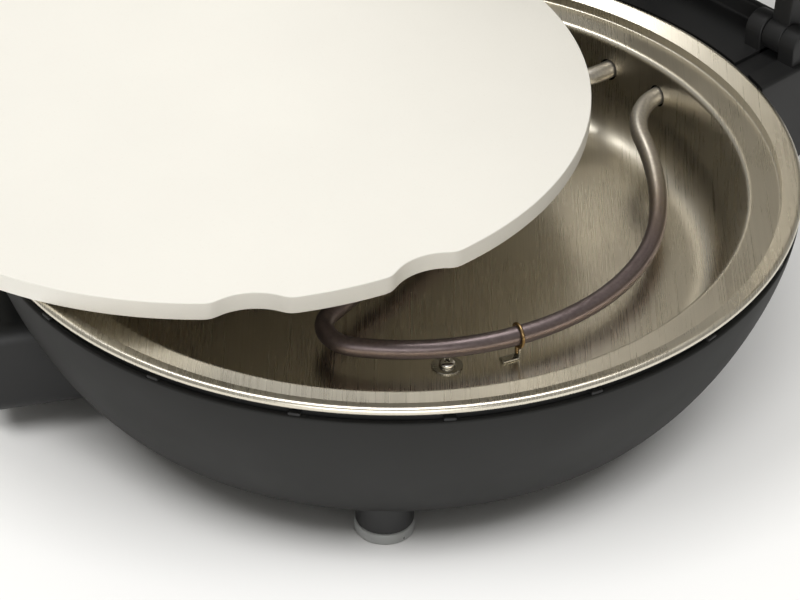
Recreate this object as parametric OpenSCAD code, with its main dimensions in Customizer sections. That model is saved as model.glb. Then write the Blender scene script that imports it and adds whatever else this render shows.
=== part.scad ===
// Countertop pizza oven: a round stainless pan with a stone, under a hinged domed lid.
// The origin is on the table under the middle of the pan. The hinge is at +Y and the
// handle side at -Y. The lid stands open and the stone lies on the rim, pushed aside.

/* [Pan] */
// Height of the top of the pan's rim above the table
rim_z = 93; // [85:1:105]
// Radius of the middle of the rolled rim
rim_r = 170; // [160:1:185]
// Radius of the roll itself
roll_r = 1.6; // [1.4:0.1:2.2]
// Thickness of the stainless sheet
sheet = 0.7; // [0.5:0.1:1.2]
// Width of the sloping ring inside the roll
ring_w = 6.8; // [5:0.2:9]
// Fall of the sloping ring
ring_fall = 2.8; // [2:0.2:4]
// Depth of the stone's seat below the rim
seat_depth = 6.7; // [5.5:0.1:9]
// Width of the stone's seat
seat_w = 13.6; // [10:0.2:18]
// Depth of the pan's floor below the rim
pan_depth = 46; // [42:1:48]
// Radius where the wall turns into the floor
pan_fillet = 20; // [14:1:24]
// Distance by which the wall leans in
wall_lean = 3; // [2:0.5:5]

/* [Stone] */
// Thickness of the stone
stone_t = 8; // [6:0.5:12]
// Clearance between the stone and the wall of its seat
stone_gap = 0.5; // [0.4:0.1:1]
// How far the stone lies from the middle
stone_away = 90.5; // [80:0.5:110]
// Direction in which the stone is pushed aside
stone_dir = 195.5; // [180:0.5:210]
// Depth of a grip notch
notch_depth = 6; // [3:0.5:8]
// Radius of a grip notch
notch_r = 24; // [18:1:40]
// Direction of the middle between two notches
notch_dir = -21.5; // [-45:0.5:0]
// Angle between two notches
notch_apart = 26; // [20:1:40]

/* [Heating elements] */
// Radius of the element's tube
tube_r = 4; // [3:0.25:5]
// Height of the lower element above the pan's floor
element_rise = 11; // [9:0.5:14]
// Depth of the upper element below the reflector
element_drop = 21; // [16:1:24]
// Radius of the element's outer arcs
arc_r = 110.4; // [106:0.2:114]
// Distance of the arc's middle from the pan's middle
arc_y = 21.2; // [17:0.2:24]
// Distance of an arc's middle beyond the middle plane
arc_x = 15.8; // [10:0.2:20]
// Radius of the turn at the front
turn_r = 15; // [12:0.5:18]
// Direction from the arc's middle to the front turn
turn_dir = -52.2; // [-60:0.2:-48]
// Radius of the inner loop
loop_r = 11; // [8:0.5:14]
// Place of the inner loop along Y
loop_y = 15; // [5:1:25]
// Half the distance between the two leads
lead_x = 15; // [12:0.2:18]
// Height of the leads above the lower element
lead_rise = 14.5; // [10:0.5:16]
// Length of tube over which a lead drops to its element
lead_drop = 90; // [70:2:110]
// Thickness of a clip's wire
clip_wire = 1.5; // [1:0.1:2]

/* [Base shell] */
// How far the shell stands out past the rim's middle
shell_proud = 1; // [0.5:0.5:4]
// Height of the shadow gap under the rim
shadow_gap = 5; // [4:0.2:6]
// Height of the rim's skirt below its top
skirt_h = 2; // [1.8:0.1:3]
// How far the shell draws in towards its base
shell_taper = 40; // [30:1:45]
// Fullness of the shell's side, where 1 is straight
shell_curve = 1.36; // [1.1:0.02:2]
// Thickness of the shell's wall
shell_wall = 2.4; // [2:0.1:3]
// Height of the shell's underside above the table
ground_gap = 13; // [11:1:16]
// Width of the rim round the bottom opening
base_flange = 19; // [16:1:22]
// Thickness of the bottom plate
plate_t = 1.5; // [1:0.1:2.5]

/* [Feet] */
// Radius of a foot
foot_r = 11.8; // [9:0.2:13]
// How far a foot's middle stands in from the shell's base
foot_in = 5.8; // [4:0.2:11]
// Direction of the front right foot
foot_dir = -43; // [-50:1:-38]
// Radius of the soft pad under a foot
pad_r = 12.3; // [10:0.1:14]
// Height of the soft pad
pad_h = 5; // [3:0.5:7]

/* [Hinge] */
// Distance of the hinge's axis behind the shell's edge
hinge_back = 21; // [20:0.5:26]
// Height of the hinge's axis above the rim
hinge_up = 6; // [5:0.5:8]
// Radius of a hinge pin
pin_r = 3; // [2.5:0.1:3.5]
// Running clearance round a pin
pin_fit = 0.05; // [0.02:0.01:0.1]
// Distance of an arm from the middle
arm_x = 45; // [38:1:50]
// Width of an arm
arm_w = 10; // [8:0.5:12]
// Radius of the arm's barrel
barrel_r = 7.5; // [6.5:0.1:8]
// Width of an ear beside the arm
ear_w = 9; // [6:0.5:12]
// How far the housing reaches behind the hinge's axis
housing_back = 13; // [11:0.5:16]

/* [Lid] */
// Angle by which the lid stands open
lid_open = 90; // [0:5:90]
// Clearance between the two rims when the lid is shut
rim_gap = 0.3; // [0.2:0.1:0.6]
// Height of the lid's dome
dome_h = 84; // [80:1:100]
// Height of the reflector's dome
reflector_h = 52; // [50:1:54]
// Radius of the reflector's flat ceiling
ceiling_r = 104; // [98:1:112]
// Thickness of the lid's shell
lid_wall = 2.2; // [1.8:0.1:2.6]
// Width of the handle's grip
grip_w = 112; // [100:1:130]
// Depth of the handle's grip
grip_d = 20; // [16:1:24]
// Height of the handle's grip
grip_h = 16; // [14:1:20]
// Finger room between the grip and the lid
finger_room = 38; // [32:1:44]
// Height of the handle above the lid's edge
handle_up = 24; // [20:1:30]
// Distance of a handle post from the middle
post_x = 47; // [42:1:48]

/* [Controls] */
// Direction in which the control pod faces
pod_dir = -118; // [-119:1:-112]
// Width of the control pod
pod_w = 60; // [56:1:66]
// Height of the control pod
pod_h = 42; // [40:1:46]
// How far the pod's face stands out past the shell's edge
pod_proud = 4; // [0:1:9]
// Height of the knob's axis
knob_z = 34; // [33:0.5:36]
// Radius of the knob
knob_r = 16; // [13:0.5:17]
// Length of the knob
knob_l = 16; // [12:0.5:20]
// Radius of the thermostat's shaft
shaft_r = 3; // [2.5:0.1:3.5]
// Radius of the pilot lamp's lens
lens_r = 4.5; // [3:0.25:5]

/* [Hidden] */
$fn = 96;
eps = 0.01;
body_gap = 0.3;
loose = 0.1;

// Colours of the finishes
steel = "#b5b2a8";
dark_steel = "#8d8a80";
black = "#363634";
soft_black = "#1c1c1c";
oxide = "#4b4142";
brass = "#a8823f";
cream = "#f2efe6";

// Pan, from the rim inwards
ring_in_r = rim_r - ring_w;
seat_z = rim_z - seat_depth;
lip_r = ring_in_r - seat_w;
floor_z = rim_z - pan_depth;
wall_r = lip_r - wall_lean;
lip_round = 1.5;
roll_z = rim_z - roll_r;

// Feet, from the front right to the rear right
foot_dirs = [foot_dir, -180 - foot_dir, 180 + foot_dir, -foot_dir];
foot_top = ground_gap + 10;

// Stone
stone_r = ring_in_r - stone_gap;
stone_z = rim_z + body_gap;

// Shell
shell_r = rim_r + shell_proud;
shell_z = rim_z - skirt_h - shadow_gap;
shell_base_r = shell_r - shell_taper;
foot_away = shell_base_r - foot_in;
plate_z = ground_gap + shell_wall;
plate_r = shell_base_r - 6;
flange_r = shell_base_r - base_flange;
plate_top = plate_z + plate_t;
plate_screw_dirs = [0, 90, 180, 270];
plate_screw_away = flange_r + 4;
vent_dirs = [for (i = [0:11]) 15 + 30 * i];
vent_away = 70;
tab_dirs = [for (i = [0:17]) 5.2 + 20 * i];

// Cord gland
gland_dir = 128;
gland_z = 34;
gland_r = 7;
gland_boss_r = 11;
gland_seat = shell_base_r + 29;
gland_bore = 3.6;

// Controls: their face looks outwards, and y runs along the shell
knob_y = -10;
lamp_y = 19;
pod_face = shell_r + pod_proud;
thermostat_in = shell_base_r - 21;
thermostat_out = shell_base_r + 3;
block_y = flange_r - 19;
block_h = 13;
wire_r = 1.3;

// Elements
element_z = floor_z + element_rise;
arc_c = [-arc_x, arc_y];
turn_c = arc_c + (arc_r - turn_r) * [cos(turn_dir), sin(turn_dir)];
loop_c = [0, loop_y];
run_dir = atan2(loop_c[1] - turn_c[1], loop_c[0] - turn_c[0])
    - asin((turn_r + loop_r) / norm(loop_c - turn_c));
lead_bend_r = (pow(wall_r - arc_y, 2) - pow(arc_r, 2) + pow(lead_x + arc_x, 2))
    / (2 * (arc_r - lead_x - arc_x));
bend_c = [lead_x + lead_bend_r, wall_r];
bend_dir = atan2(bend_c[1] - arc_y, bend_c[0] + arc_x);
lower_lead_y = wall_r + 11;
clip_dir = -17;
clip_c = arc_c + arc_r * [cos(clip_dir), sin(clip_dir)];
bracket_w = 4;
bracket_t = 1;
bracket_foot = 8;
bracket_reach = tube_r + loose + clip_wire + loose;

// Hinge
hinge_y = shell_r + hinge_back;
hinge_z = rim_z + hinge_up;
side_gap = body_gap;
ear_in = arm_x - arm_w / 2 - side_gap - ear_w;
ear_out = arm_x + arm_w / 2 + side_gap;
housing_top = rim_z - 1;
housing_low = 44;
housing_w = 2 * (ear_out + ear_w) + 6;
housing_screw_x = 22;
housing_screw_l = 14;
housing_screw_zs = [56, 74];

// Lid, in its shut place
lid_bead_z = rim_z + rim_gap + roll_r;
lid_z = lid_bead_z + roll_r + loose;
lid_r = shell_r + 1;
reflector_r = rim_r - 2.5;
reflector_top = lid_z + reflector_h;
upper_z = reflector_top - element_drop;
dome_curve = 2.3;
reflector_curve = 2.1;
handle_z = lid_z + handle_up;
grip_y = -(lid_r + finger_room);
upper_lead_y = sqrt(pow(dome_in_r(upper_z + tube_r), 2) - pow(lead_x + tube_r, 2)) - 2.2;
arm_screw_zs = [hinge_z + 13, hinge_z + 23];
arm_head_ys = [hinge_y - 9, hinge_y - 17];
arm_tip_ys = [lid_r - 11.5, lid_r - 15];

// Fasteners
screw_r = 2;
screw_fit = 0.1;
head_r = 3.4;
head_h = 2.2;
washer_r = 6.5;
washer_t = 0.6;
pan_screw_away = flange_r - 28.5;
pan_screw_dirs = [-26, 90, 206];
standoff_h = 21;
shield_z = plate_top + standoff_h;
shield_t = 0.8;
shield_r = flange_r - 4;
reflector_screw_l = 14;
pan_screw_past = 12;

// Curves
function unit(v) = v / norm(v);
function arc(c, r, a0, a1, n) =
    [for (i = [0:n]) c + r * [cos(a0 + (a1 - a0) * i / n), sin(a0 + (a1 - a0) * i / n)]];
function heading(p, i) = unit(p[min(i + 1, len(p) - 1)] - p[max(i - 1, 0)]);
function beside(p, t) = [for (i = [0:len(p) - 1])
    let (d = heading(p, i)) p[i] + t * [d[1], -d[0]]];
function reversed(p) = [for (i = [len(p) - 1:-1:0]) p[i]];
function sheet_outline(p, t) = concat(p, reversed(beside(p, t)));
function bulge(a, b, curve, i, n) =
    [a * pow(cos(90 * i / n), 2 / curve), b * pow(sin(90 * i / n), 2 / curve)];
function turned(p, a) = [p[0] * cos(a) - p[1] * sin(a), p[0] * sin(a) + p[1] * cos(a), p[2]];
function mirrored(p) = [for (q = p) [-q[0], q[1], q[2]]];

// Side of the base shell, drawn in by a wall's thickness
function bowl_side(inset) = [for (i = [0:24])
    let (b = bulge(shell_taper, shell_z - ground_gap, shell_curve, i, 24))
    [shell_base_r - inset + b[0], shell_z - b[1]]];
// Inner radius of the base shell at a height
function inner_r(z) = shell_base_r - shell_wall + shell_taper
    * pow(cos(asin(pow((shell_z - z) / (shell_z - ground_gap), shell_curve / 2))), 2 / shell_curve);
// Place of the head of a housing screw along Y
function housing_screw_y(z) = sqrt(pow(inner_r(z - 4), 2) - pow(housing_screw_x + 4, 2)) - 0.2;
// Inner radius of the lid's dome at a height
function dome_in_r(z) = (lid_r - lid_wall)
    * pow(1 - pow((z - lid_z) / (dome_h - lid_wall), dome_curve), 1 / dome_curve);
// Side of the lid's dome and of its reflector
function dome_side(r, z, h, curve) = [for (i = [24:-1:0])
    let (b = bulge(r, h, curve, i, 24)) [b[0], z + b[1]]];

// A tube along points, with flat ends
module tube_along(p, r, sides) {
    n = len(p);
    ring = function (i) let (d = heading(p, i), s = unit(cross(d, [0, 0, 1])), u = cross(s, d))
        [for (k = [0:sides - 1]) p[i] + r * (cos(360 * k / sides) * s + sin(360 * k / sides) * u)];
    polyhedron(
        points = [for (i = [0:n - 1]) each ring(i)],
        faces = concat(
            [[for (k = [sides - 1:-1:0]) k]],
            [for (i = [0:n - 2], k = [0:sides - 1]) let (j = (k + 1) % sides)
                [i * sides + k, i * sides + j, (i + 1) * sides + j, (i + 1) * sides + k]],
            [[for (k = [0:sides - 1]) (n - 1) * sides + k]]));
}

// A piece turned about the vertical axis and moved out from it
module at(dir, away, z) {
    rotate([0, 0, dir])
        translate([away, 0, z])
            children();
}

// A rod along X from x0 to x1
module rod_x(x0, x1, r) {
    translate([x0, 0, 0])
        rotate([0, 90, 0])
            cylinder(r = r, h = x1 - x0);
}

// A rod along Y from y0 to y1
module rod_y(y0, y1, r) {
    translate([0, y0, 0])
        rotate([-90, 0, 0])
            cylinder(r = r, h = y1 - y0);
}

// A rectangle with round corners, made of plain shapes
module round_rect(w, h, r) {
    square([w - 2 * r, h], center = true);
    square([w, h - 2 * r], center = true);
    for (x = [-1, 1], y = [-1, 1])
        translate([x * (w / 2 - r), y * (h / 2 - r)])
            circle(r = r);
}

// The solid inside the base shell's side
module bowl_solid(inset, z0) {
    rotate_extrude()
        polygon(concat([[0, shell_z], each bowl_side(inset)], [[0, z0]]));
}

// The solid inside the lid's dome
module dome_solid(r, h) {
    rotate_extrude()
        polygon(concat([[0, lid_z]], dome_side(r, lid_z, h, dome_curve)));
}

// The lid's pieces, swung open about the hinge
module lid_pose() {
    translate([0, hinge_y, hinge_z])
        rotate([-lid_open, 0, 0])
            translate([0, -hinge_y, -hinge_z])
                children();
}

// A pan-head screw that points down from z = 0, with a cross recess
module screw_down(l) {
    difference() {
        union() {
            cylinder(r = head_r, h = head_h * 0.55);
            translate([0, 0, head_h * 0.55])
                cylinder(r1 = head_r, r2 = head_r * 0.6, h = head_h * 0.45);
            translate([0, 0, -l])
                cylinder(r = screw_r, h = l + eps);
        }
        for (a = [0, 90])
            rotate([0, 0, a])
                translate([-head_r * 0.6, -0.4, head_h - 0.9])
                    cube([head_r * 1.2, 0.8, 1]);
    }
}

module base_shell() {
    color(black)
        difference() {
            union() {
                difference() {
                    bowl_solid(0, ground_gap);
                    translate([0, 0, ground_gap + shell_wall])
                        cylinder(r = flange_r, h = shell_z);
                    intersection() {
                        bowl_solid(shell_wall, ground_gap);
                        translate([0, 0, plate_z])
                            cylinder(r = shell_r, h = shell_z);
                    }
                }
                difference() {
                    at(gland_dir, gland_seat - 14, gland_z)
                        rotate([0, 90, 0])
                            cylinder(r = gland_boss_r, h = 14);
                    bowl_solid(shell_wall, ground_gap);
                }
            }
            translate([0, 0, -eps])
                cylinder(r = flange_r, h = shell_z);
            at(gland_dir, gland_seat - 28, gland_z)
                rotate([0, 90, 0])
                    cylinder(r = gland_r + loose, h = 40);
            pod_bores();
            for (d = foot_dirs)
                at(d, foot_away, 0)
                    cylinder(r = screw_r + screw_fit, h = plate_z + 1);
            for (d = plate_screw_dirs)
                at(d, plate_screw_away, 0)
                    cylinder(r = screw_r + screw_fit, h = plate_z + 1);
            for (x = [-1, 1], z = housing_screw_zs)
                translate([x * housing_screw_x, 0, z])
                    rod_y(shell_base_r * 0.8, shell_r + 5, screw_r + screw_fit);
        }
}

module base_plate() {
    color(dark_steel)
        difference() {
            translate([0, 0, plate_z])
                cylinder(r = plate_r, h = plate_t);
            for (d = plate_screw_dirs)
                at(d, plate_screw_away, 0)
                    cylinder(r = screw_r + screw_fit, h = 2 * plate_z);
            for (d = foot_dirs)
                at(d, foot_away, plate_z - 1)
                    cylinder(r = head_r + 3, h = plate_t + 2);
            for (d = vent_dirs)
                at(d, vent_away, plate_z - 1)
                    linear_extrude(plate_t + 2)
                        round_rect(26, 4, 1.9);
            for (d = pan_screw_dirs)
                at(d, pan_screw_away, plate_z - 1)
                    cylinder(r = screw_r + screw_fit, h = plate_t + 2);
        }
}

module base_plate_screws() {
    color(steel)
        for (d = plate_screw_dirs)
            at(d, plate_screw_away, ground_gap)
                mirror([0, 0, 1])
                    screw_down(shell_wall + plate_t + 3);
}

module support_ring() {
    ring_h = 7;
    ring_out = shell_r - shell_wall - 0.8;
    ring_in = ring_in_r + sheet + 0.6;
    under = rim_z - ring_fall - sheet - 0.5;
    color(soft_black)
        union() {
            rotate_extrude()
                polygon([[ring_in, under - ring_h], [ring_out, under - ring_h],
                    [ring_out, under + 0.9], [ring_in, under]]);
            for (d = tab_dirs)
                at(d, ring_out - 1, shell_z)
                    translate([0, -2.5, 0])
                        cube([shell_wall + 1.2, 5, 1.5]);
        }
}

module foot(dir) {
    color(black)
        difference() {
            at(dir, foot_away, pad_h)
                cylinder(r = foot_r, h = foot_top - pad_h);
            bowl_solid(0, ground_gap);
            at(dir, foot_away, 0)
                cylinder(r = screw_r + screw_fit, h = foot_top);
            at(dir, foot_away, 0)
                cylinder(r = head_r + 0.4, h = pad_h + head_h + 0.6);
        }
}

module foot_pads() {
    color([0.82, 0.83, 0.82, 0.7])
        for (d = foot_dirs)
            at(d, foot_away, 0)
                rotate_extrude()
                    polygon([[0, 0], [pad_r - 0.6, 0], [pad_r, 0.8], [pad_r, pad_h - 0.8],
                        [pad_r - 0.6, pad_h], [0, pad_h]]);
}

module foot_screws() {
    color(steel)
        for (d = foot_dirs)
            at(d, foot_away, pad_h + head_h + 0.4)
                mirror([0, 0, 1])
                    screw_down(ground_gap - pad_h);
}

// Pressed pan, from the middle of its floor out to the rolled rim
function pan_path() = concat(
    [[0, floor_z]],
    arc([wall_r - pan_fillet, floor_z + pan_fillet], pan_fillet, -90, -4, 12),
    arc([lip_r, seat_z - lip_round], lip_round, 170, 90, 5),
    [[ring_in_r - 1.6, seat_z]],
    arc([ring_in_r - 1.2, seat_z + 0.8], 0.8, -60, 0, 3),
    [[ring_in_r, rim_z - ring_fall]],
    arc([rim_r, roll_z], roll_r, 118, 0, 10),
    [[rim_r + roll_r, rim_z - skirt_h]]);

module lead_bores(z, y0) {
    for (x = [-1, 1])
        translate([x * lead_x, 0, z])
            rod_y(y0, rim_r - 8, tube_r + 0.9);
}

module inner_pan() {
    color(steel)
        difference() {
            rotate_extrude()
                polygon(sheet_outline(pan_path(), sheet));
            lead_bores(element_z + lead_rise, wall_r - 20);
            for (d = pan_screw_dirs)
                at(d, pan_screw_away, floor_z - 2)
                    cylinder(r = screw_r + screw_fit, h = 4);
        }
}

module washer() {
    difference() {
        cylinder(r = washer_r, h = washer_t);
        translate([0, 0, -1])
            cylinder(r = screw_r + screw_fit, h = washer_t + 2);
    }
}

module pan_washers() {
    color(steel)
        for (d = pan_screw_dirs)
            at(d, pan_screw_away, floor_z)
                washer();
}

module pan_screws() {
    color(steel)
        for (d = pan_screw_dirs)
            at(d, pan_screw_away, floor_z + washer_t)
                screw_down(floor_z + washer_t - shield_z + pan_screw_past);
}

// Sleeves round the pan's screws, above and below the heat shield
module sleeves(z0, z1, r) {
    for (d = pan_screw_dirs)
        at(d, pan_screw_away, z0)
            difference() {
                cylinder(r = r, h = z1 - z0);
                translate([0, 0, -1])
                    cylinder(r = screw_r + screw_fit, h = z1 - z0 + 2);
            }
}

module pan_spacers() {
    color(dark_steel)
        sleeves(shield_z + shield_t, floor_z - sheet, 4.5);
}

module pan_standoffs() {
    color(dark_steel)
        sleeves(plate_top, shield_z, 6);
}

module heat_shield() {
    color(steel)
        difference() {
            translate([0, 0, shield_z])
                cylinder(r = shield_r, h = shield_t);
            for (d = pan_screw_dirs)
                at(d, pan_screw_away, shield_z - 1)
                    cylinder(r = screw_r + screw_fit, h = shield_t + 2);
        }
}

// Plan of half an element, from its lead to the middle of the inner loop
function half_plan() = concat(
    arc(bend_c, lead_bend_r, 180, 180 + bend_dir, 9),
    arc(arc_c, arc_r, bend_dir - 3, turn_dir + 3, 34),
    arc(turn_c, turn_r, turn_dir, run_dir + 90 - 360, 9),
    arc(loop_c, loop_r, run_dir - 90, 90, 6));

// Length along points, up to point i
function along(p, i) = i == 0 ? 0 : along(p, i - 1) + norm(p[i] - p[i - 1]);

// A plan that drops by rise over the first stretch of its tube
function dropping(p, z, rise) = [for (i = [0:len(p) - 1])
    [p[i][0], p[i][1], z + rise * (1 + cos(180 * min(along(p, i) / lead_drop, 1))) / 2]];

function element_path(z, rise, y_end) =
    let (half = concat([[lead_x, y_end, z + rise]], dropping(half_plan(), z, rise)))
    concat(half, reversed(mirrored([for (i = [0:len(half) - 2]) half[i]])));

module lower_element() {
    color(oxide)
        tube_along(element_path(element_z, lead_rise, lower_lead_y), tube_r, 12);
}

// Ceramic end with its terminal blade, at the cold end of a lead
module ferrules(z, y) {
    for (x = [-1, 1])
        translate([x * lead_x, 0, z]) {
            rod_y(y + loose, y + 2, tube_r - 0.6);
            rod_y(y + 1.9, y + 4, 1.3);
        }
}

module lower_ferrules() {
    color(cream)
        ferrules(element_z + lead_rise, lower_lead_y);
}

// Puts a part at each clip, its x away from the middle of the bend
module at_clips() {
    for (side = [0, 1])
        mirror([side, 0, 0])
            translate([clip_c[0], clip_c[1], 0])
                rotate([0, 0, clip_dir])
                    children();
    translate([0, loop_y + loop_r, 0])
        rotate([0, 0, 90])
            children();
}

// A folded strap from a wall at z0 towards the tube, which a wire loop ties to it
module bracket(z0, up, l) {
    translate([0, 0, z0])
        mirror([0, 0, up ? 0 : 1])
            union() {
                translate([-bracket_w / 2, -bracket_t / 2, 0])
                    cube([bracket_w, bracket_t, l]);
                translate([-bracket_w / 2, bracket_t / 2 - bracket_foot, 0])
                    cube([bracket_w, bracket_foot, bracket_t]);
            }
}

module brackets(z0, up, l) {
    at_clips()
        bracket(z0, up, l);
}

module wire_loop() {
    rotate([90, 0, 0])
        rotate_extrude()
            translate([tube_r + loose + clip_wire / 2, 0])
                circle(r = clip_wire / 2, $fn = 24);
}

module clips(z) {
    translate([0, 0, z])
        at_clips()
            wire_loop();
}

module lower_brackets() {
    color(steel)
        brackets(floor_z, true, element_rise - bracket_reach);
}

module lower_clips() {
    color(brass)
        clips(element_z);
}

module terminal_block() {
    color(cream)
        difference() {
            translate([-20, block_y, plate_top])
                cube([40, 16, block_h]);
            for (x = [-12, 0, 12])
                translate([x, block_y + 8, plate_top + block_h - 5])
                    cylinder(r = 2.6, h = 6);
        }
}

module thermal_fuse() {
    color(steel)
        translate([40, 50, shield_z - 2.1])
            rotate([0, 0, 30])
                rod_x(-9, 9, 2);
}

// A smooth curve through points
function spline(p, n) = [for (i = [0:len(p) - 2], k = [0:(i == len(p) - 2 ? n : n - 1)])
    let (a = p[max(i - 1, 0)], b = p[i], c = p[i + 1], d = p[min(i + 2, len(p) - 1)], t = k / n)
    0.5 * (2 * b + t * (c - a) + t * t * (2 * a - 5 * b + 4 * c - d)
        + t * t * t * (3 * b - a - 3 * c + d))];

// Insulated wires from the terminal block to the leads and the thermostat
module wiring() {
    z0 = plate_top + block_h - 4;
    color("#b9b3a4")
        for (s = [-1, 1]) {
            tube_along(spline([[s * 12, block_y + 16.5, z0], [s * 12.5, block_y + 24, z0 + 2],
                [s * 13.5, wall_r - 12, z0 + 9], [s * lead_x, wall_r - 1, element_z - 10],
                [s * lead_x, wall_r + 7, element_z + 2],
                [s * lead_x, lower_lead_y + 3.8, element_z + lead_rise - 3.2]],
                4), wire_r, 8);
            tube_along(spline([turned([thermostat_in - 0.4, knob_y + s * 4, knob_z - 7], pod_dir),
                turned([thermostat_in - 9, knob_y + s * 4, knob_z - 7.5], pod_dir),
                turned([thermostat_in - 32, knob_y + s * 3, plate_top + 5], pod_dir),
                [-36 + s * 3, -20, plate_top + 4], [-22 + s * 3, 40, plate_top + 4],
                [-14 + s * 3, block_y - 10, plate_top + 5], [-14 + s * 3, block_y - 0.4, plate_top + 5]],
                4), wire_r, 8);
        }
}

module pod_bores() {
    rotate([0, 0, pod_dir]) {
        translate([0, knob_y, knob_z])
            rod_x(thermostat_out - 8, pod_face + 1, shaft_r + 1.5);
        translate([0, lamp_y, knob_z])
            rod_x(thermostat_out - 8, pod_face + 1, lens_r + loose);
    }
}

module control_pod() {
    color(soft_black)
        difference() {
            rotate([0, 0, pod_dir])
                translate([thermostat_out, 0, knob_z])
                    rotate([90, 0, 90])
                        linear_extrude(pod_face - thermostat_out)
                            round_rect(pod_w, pod_h, 8);
            bowl_solid(0, ground_gap);
            pod_bores();
            translate([0, 0, -shell_z])
                cylinder(r = shell_base_r - loose, h = shell_z + ground_gap + eps);
        }
}

module thermostat_body() {
    color(dark_steel)
        difference() {
            rotate([0, 0, pod_dir])
                union() {
                    translate([thermostat_in, knob_y - 13, plate_top])
                        cube([thermostat_out - thermostat_in - 4, 26, knob_z + 9 - plate_top]);
                    translate([0, knob_y, knob_z])
                        rod_x(thermostat_out - 4 - eps, thermostat_out, shaft_r + 2.5);
                }
            rotate([0, 0, pod_dir])
                translate([0, knob_y, knob_z])
                    rod_x(thermostat_in + 6, thermostat_out + 1, shaft_r + pin_fit);
        }
}

module thermostat_shaft() {
    color(steel)
        rotate([0, 0, pod_dir])
            translate([0, knob_y, knob_z])
                rod_x(thermostat_in + 8, pod_face + knob_l - 4, shaft_r);
}

module thermostat_knob() {
    skirt = 4;
    color(black)
        rotate([0, 0, pod_dir])
            translate([pod_face + 0.5, knob_y, knob_z])
                rotate([0, 90, 0])
                    difference() {
                        rotate_extrude()
                            polygon([[0, 0], [knob_r, 0], [knob_r, skirt - 1], [knob_r - 1, skirt],
                                [knob_r - 3, skirt], [knob_r - 4, knob_l - 1],
                                [knob_r - 5, knob_l], [0, knob_l]]);
                        translate([0, 0, -1])
                            cylinder(r = shaft_r, h = knob_l - 3.5);
                        for (i = [0:15])
                            rotate([0, 0, 22.5 * i])
                                translate([knob_r - 1.6, 0, skirt])
                                    cylinder(r = 1.5, h = knob_l);
                        translate([-(knob_r - 4.5), -0.7, knob_l - 0.8])
                            cube([9, 1.4, 2]);
                    }
}

module knob_marker() {
    color(cream)
        rotate([0, 0, pod_dir])
            translate([pod_face + 0.5, knob_y, knob_z])
                rotate([0, 90, 0])
                    translate([-(knob_r - 4.5), -0.7, knob_l - 0.8])
                        cube([9, 1.4, 1]);
}

module lamp_holder() {
    color(cream)
        rotate([0, 0, pod_dir])
            translate([0, lamp_y, knob_z])
                difference() {
                    rod_x(thermostat_out - 6, pod_face - 12, lens_r);
                    rod_x(pod_face - 16, pod_face, lens_r - 1.2);
                }
}

module lamp_lens() {
    color([0.8, 0.15, 0.08, 0.7])
        rotate([0, 0, pod_dir])
            translate([0, lamp_y, knob_z])
                rotate([0, 90, 0])
                    rotate_extrude()
                        polygon(concat([[0, pod_face - 11.9], [lens_r, pod_face - 11.9]],
                            [[lens_r, pod_face], [lens_r + 1, pod_face], [lens_r + 1, pod_face + 1]],
                            arc([0, pod_face - 2], lens_r + 1.5, 32, 90, 6)));
}

module cord_gland() {
    color(soft_black)
        at(gland_dir, gland_seat, gland_z)
            difference() {
                union() {
                    rod_x(-28, 0, gland_r);
                    rotate([0, 90, 0])
                        cylinder(r = gland_boss_r, h = 5, $fn = 6);
                    rotate([0, 90, 0])
                        translate([0, 0, 5])
                            cylinder(r1 = gland_r + 1.5, r2 = gland_bore + 2, h = 8);
                }
                rod_x(-29, 14, gland_bore);
            }
}

module gland_nut() {
    color(soft_black)
        at(gland_dir, gland_seat - 25.5, gland_z)
            difference() {
                rotate([0, 90, 0])
                    cylinder(r = gland_boss_r - 1, h = 5, $fn = 6);
                rod_x(-1, 6, gland_r);
            }
}

// Housing behind the rim that carries the hinge
module hinge_housing() {
    back_y = hinge_y + housing_back;
    stop_y = hinge_y + barrel_r + 1.5;
    stop_top = hinge_z + 2;
    slot_floor = hinge_z - barrel_r - 1.1;
    color(black)
        difference() {
            union() {
                translate([-housing_w / 2, 0, housing_low])
                    difference() {
                        cube([housing_w, back_y, housing_top - housing_low]);
                        translate([-1, back_y, housing_top - 16 - housing_low])
                            rotate([-20, 0, 0])
                                translate([0, 0, -70])
                                    cube([housing_w + 2, 40, 70]);
                    }
                translate([-housing_w / 2, stop_y, housing_top - 6])
                    cube([housing_w, back_y - stop_y, stop_top - housing_top + 6]);
                for (s = [-1, 1], x = [ear_in, ear_out])
                    translate([s * (x + ear_w / 2) - ear_w / 2, 0, 0])
                        ear();
            }
            bowl_solid(0, ground_gap);
            translate([0, 0, shell_z - eps])
                cylinder(r = lid_r + 1.2, h = 40);
            translate([0, 0, housing_low - 1])
                cylinder(r = shell_base_r - 10, h = 60);
            for (s = [-1, 1]) {
                translate([s * arm_x - arm_w / 2 - side_gap, 0, 0])
                    rotate([90, 0, 90])
                        linear_extrude(arm_w + 2 * side_gap)
                            polygon([[lid_r, slot_floor], [stop_y, slot_floor],
                                [stop_y, hinge_z - 1.1], [stop_y + 8, hinge_z + 5.5],
                                [stop_y + 8, hinge_z + 30], [lid_r, hinge_z + 30]]);
                translate([s * arm_x, hinge_y, hinge_z])
                    rod_x(-arm_w / 2 - side_gap - ear_w - 1, arm_w / 2 + side_gap + ear_w - 1.5, pin_r);
            }
            for (x = [-1, 1], z = housing_screw_zs)
                translate([x * housing_screw_x, 0, z])
                    rod_y(shell_base_r, shell_r + 8, screw_r + screw_fit);
        }
}

// An ear with a round top
module ear() {
    translate([0, hinge_y, 0])
        rotate([90, 0, 90])
            linear_extrude(ear_w) {
                translate([0, hinge_z])
                    circle(r = barrel_r + 0.5);
                translate([-barrel_r - 0.5, housing_top - 6])
                    square([2 * barrel_r + 1, hinge_z - housing_top + 6]);
            }
}

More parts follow.
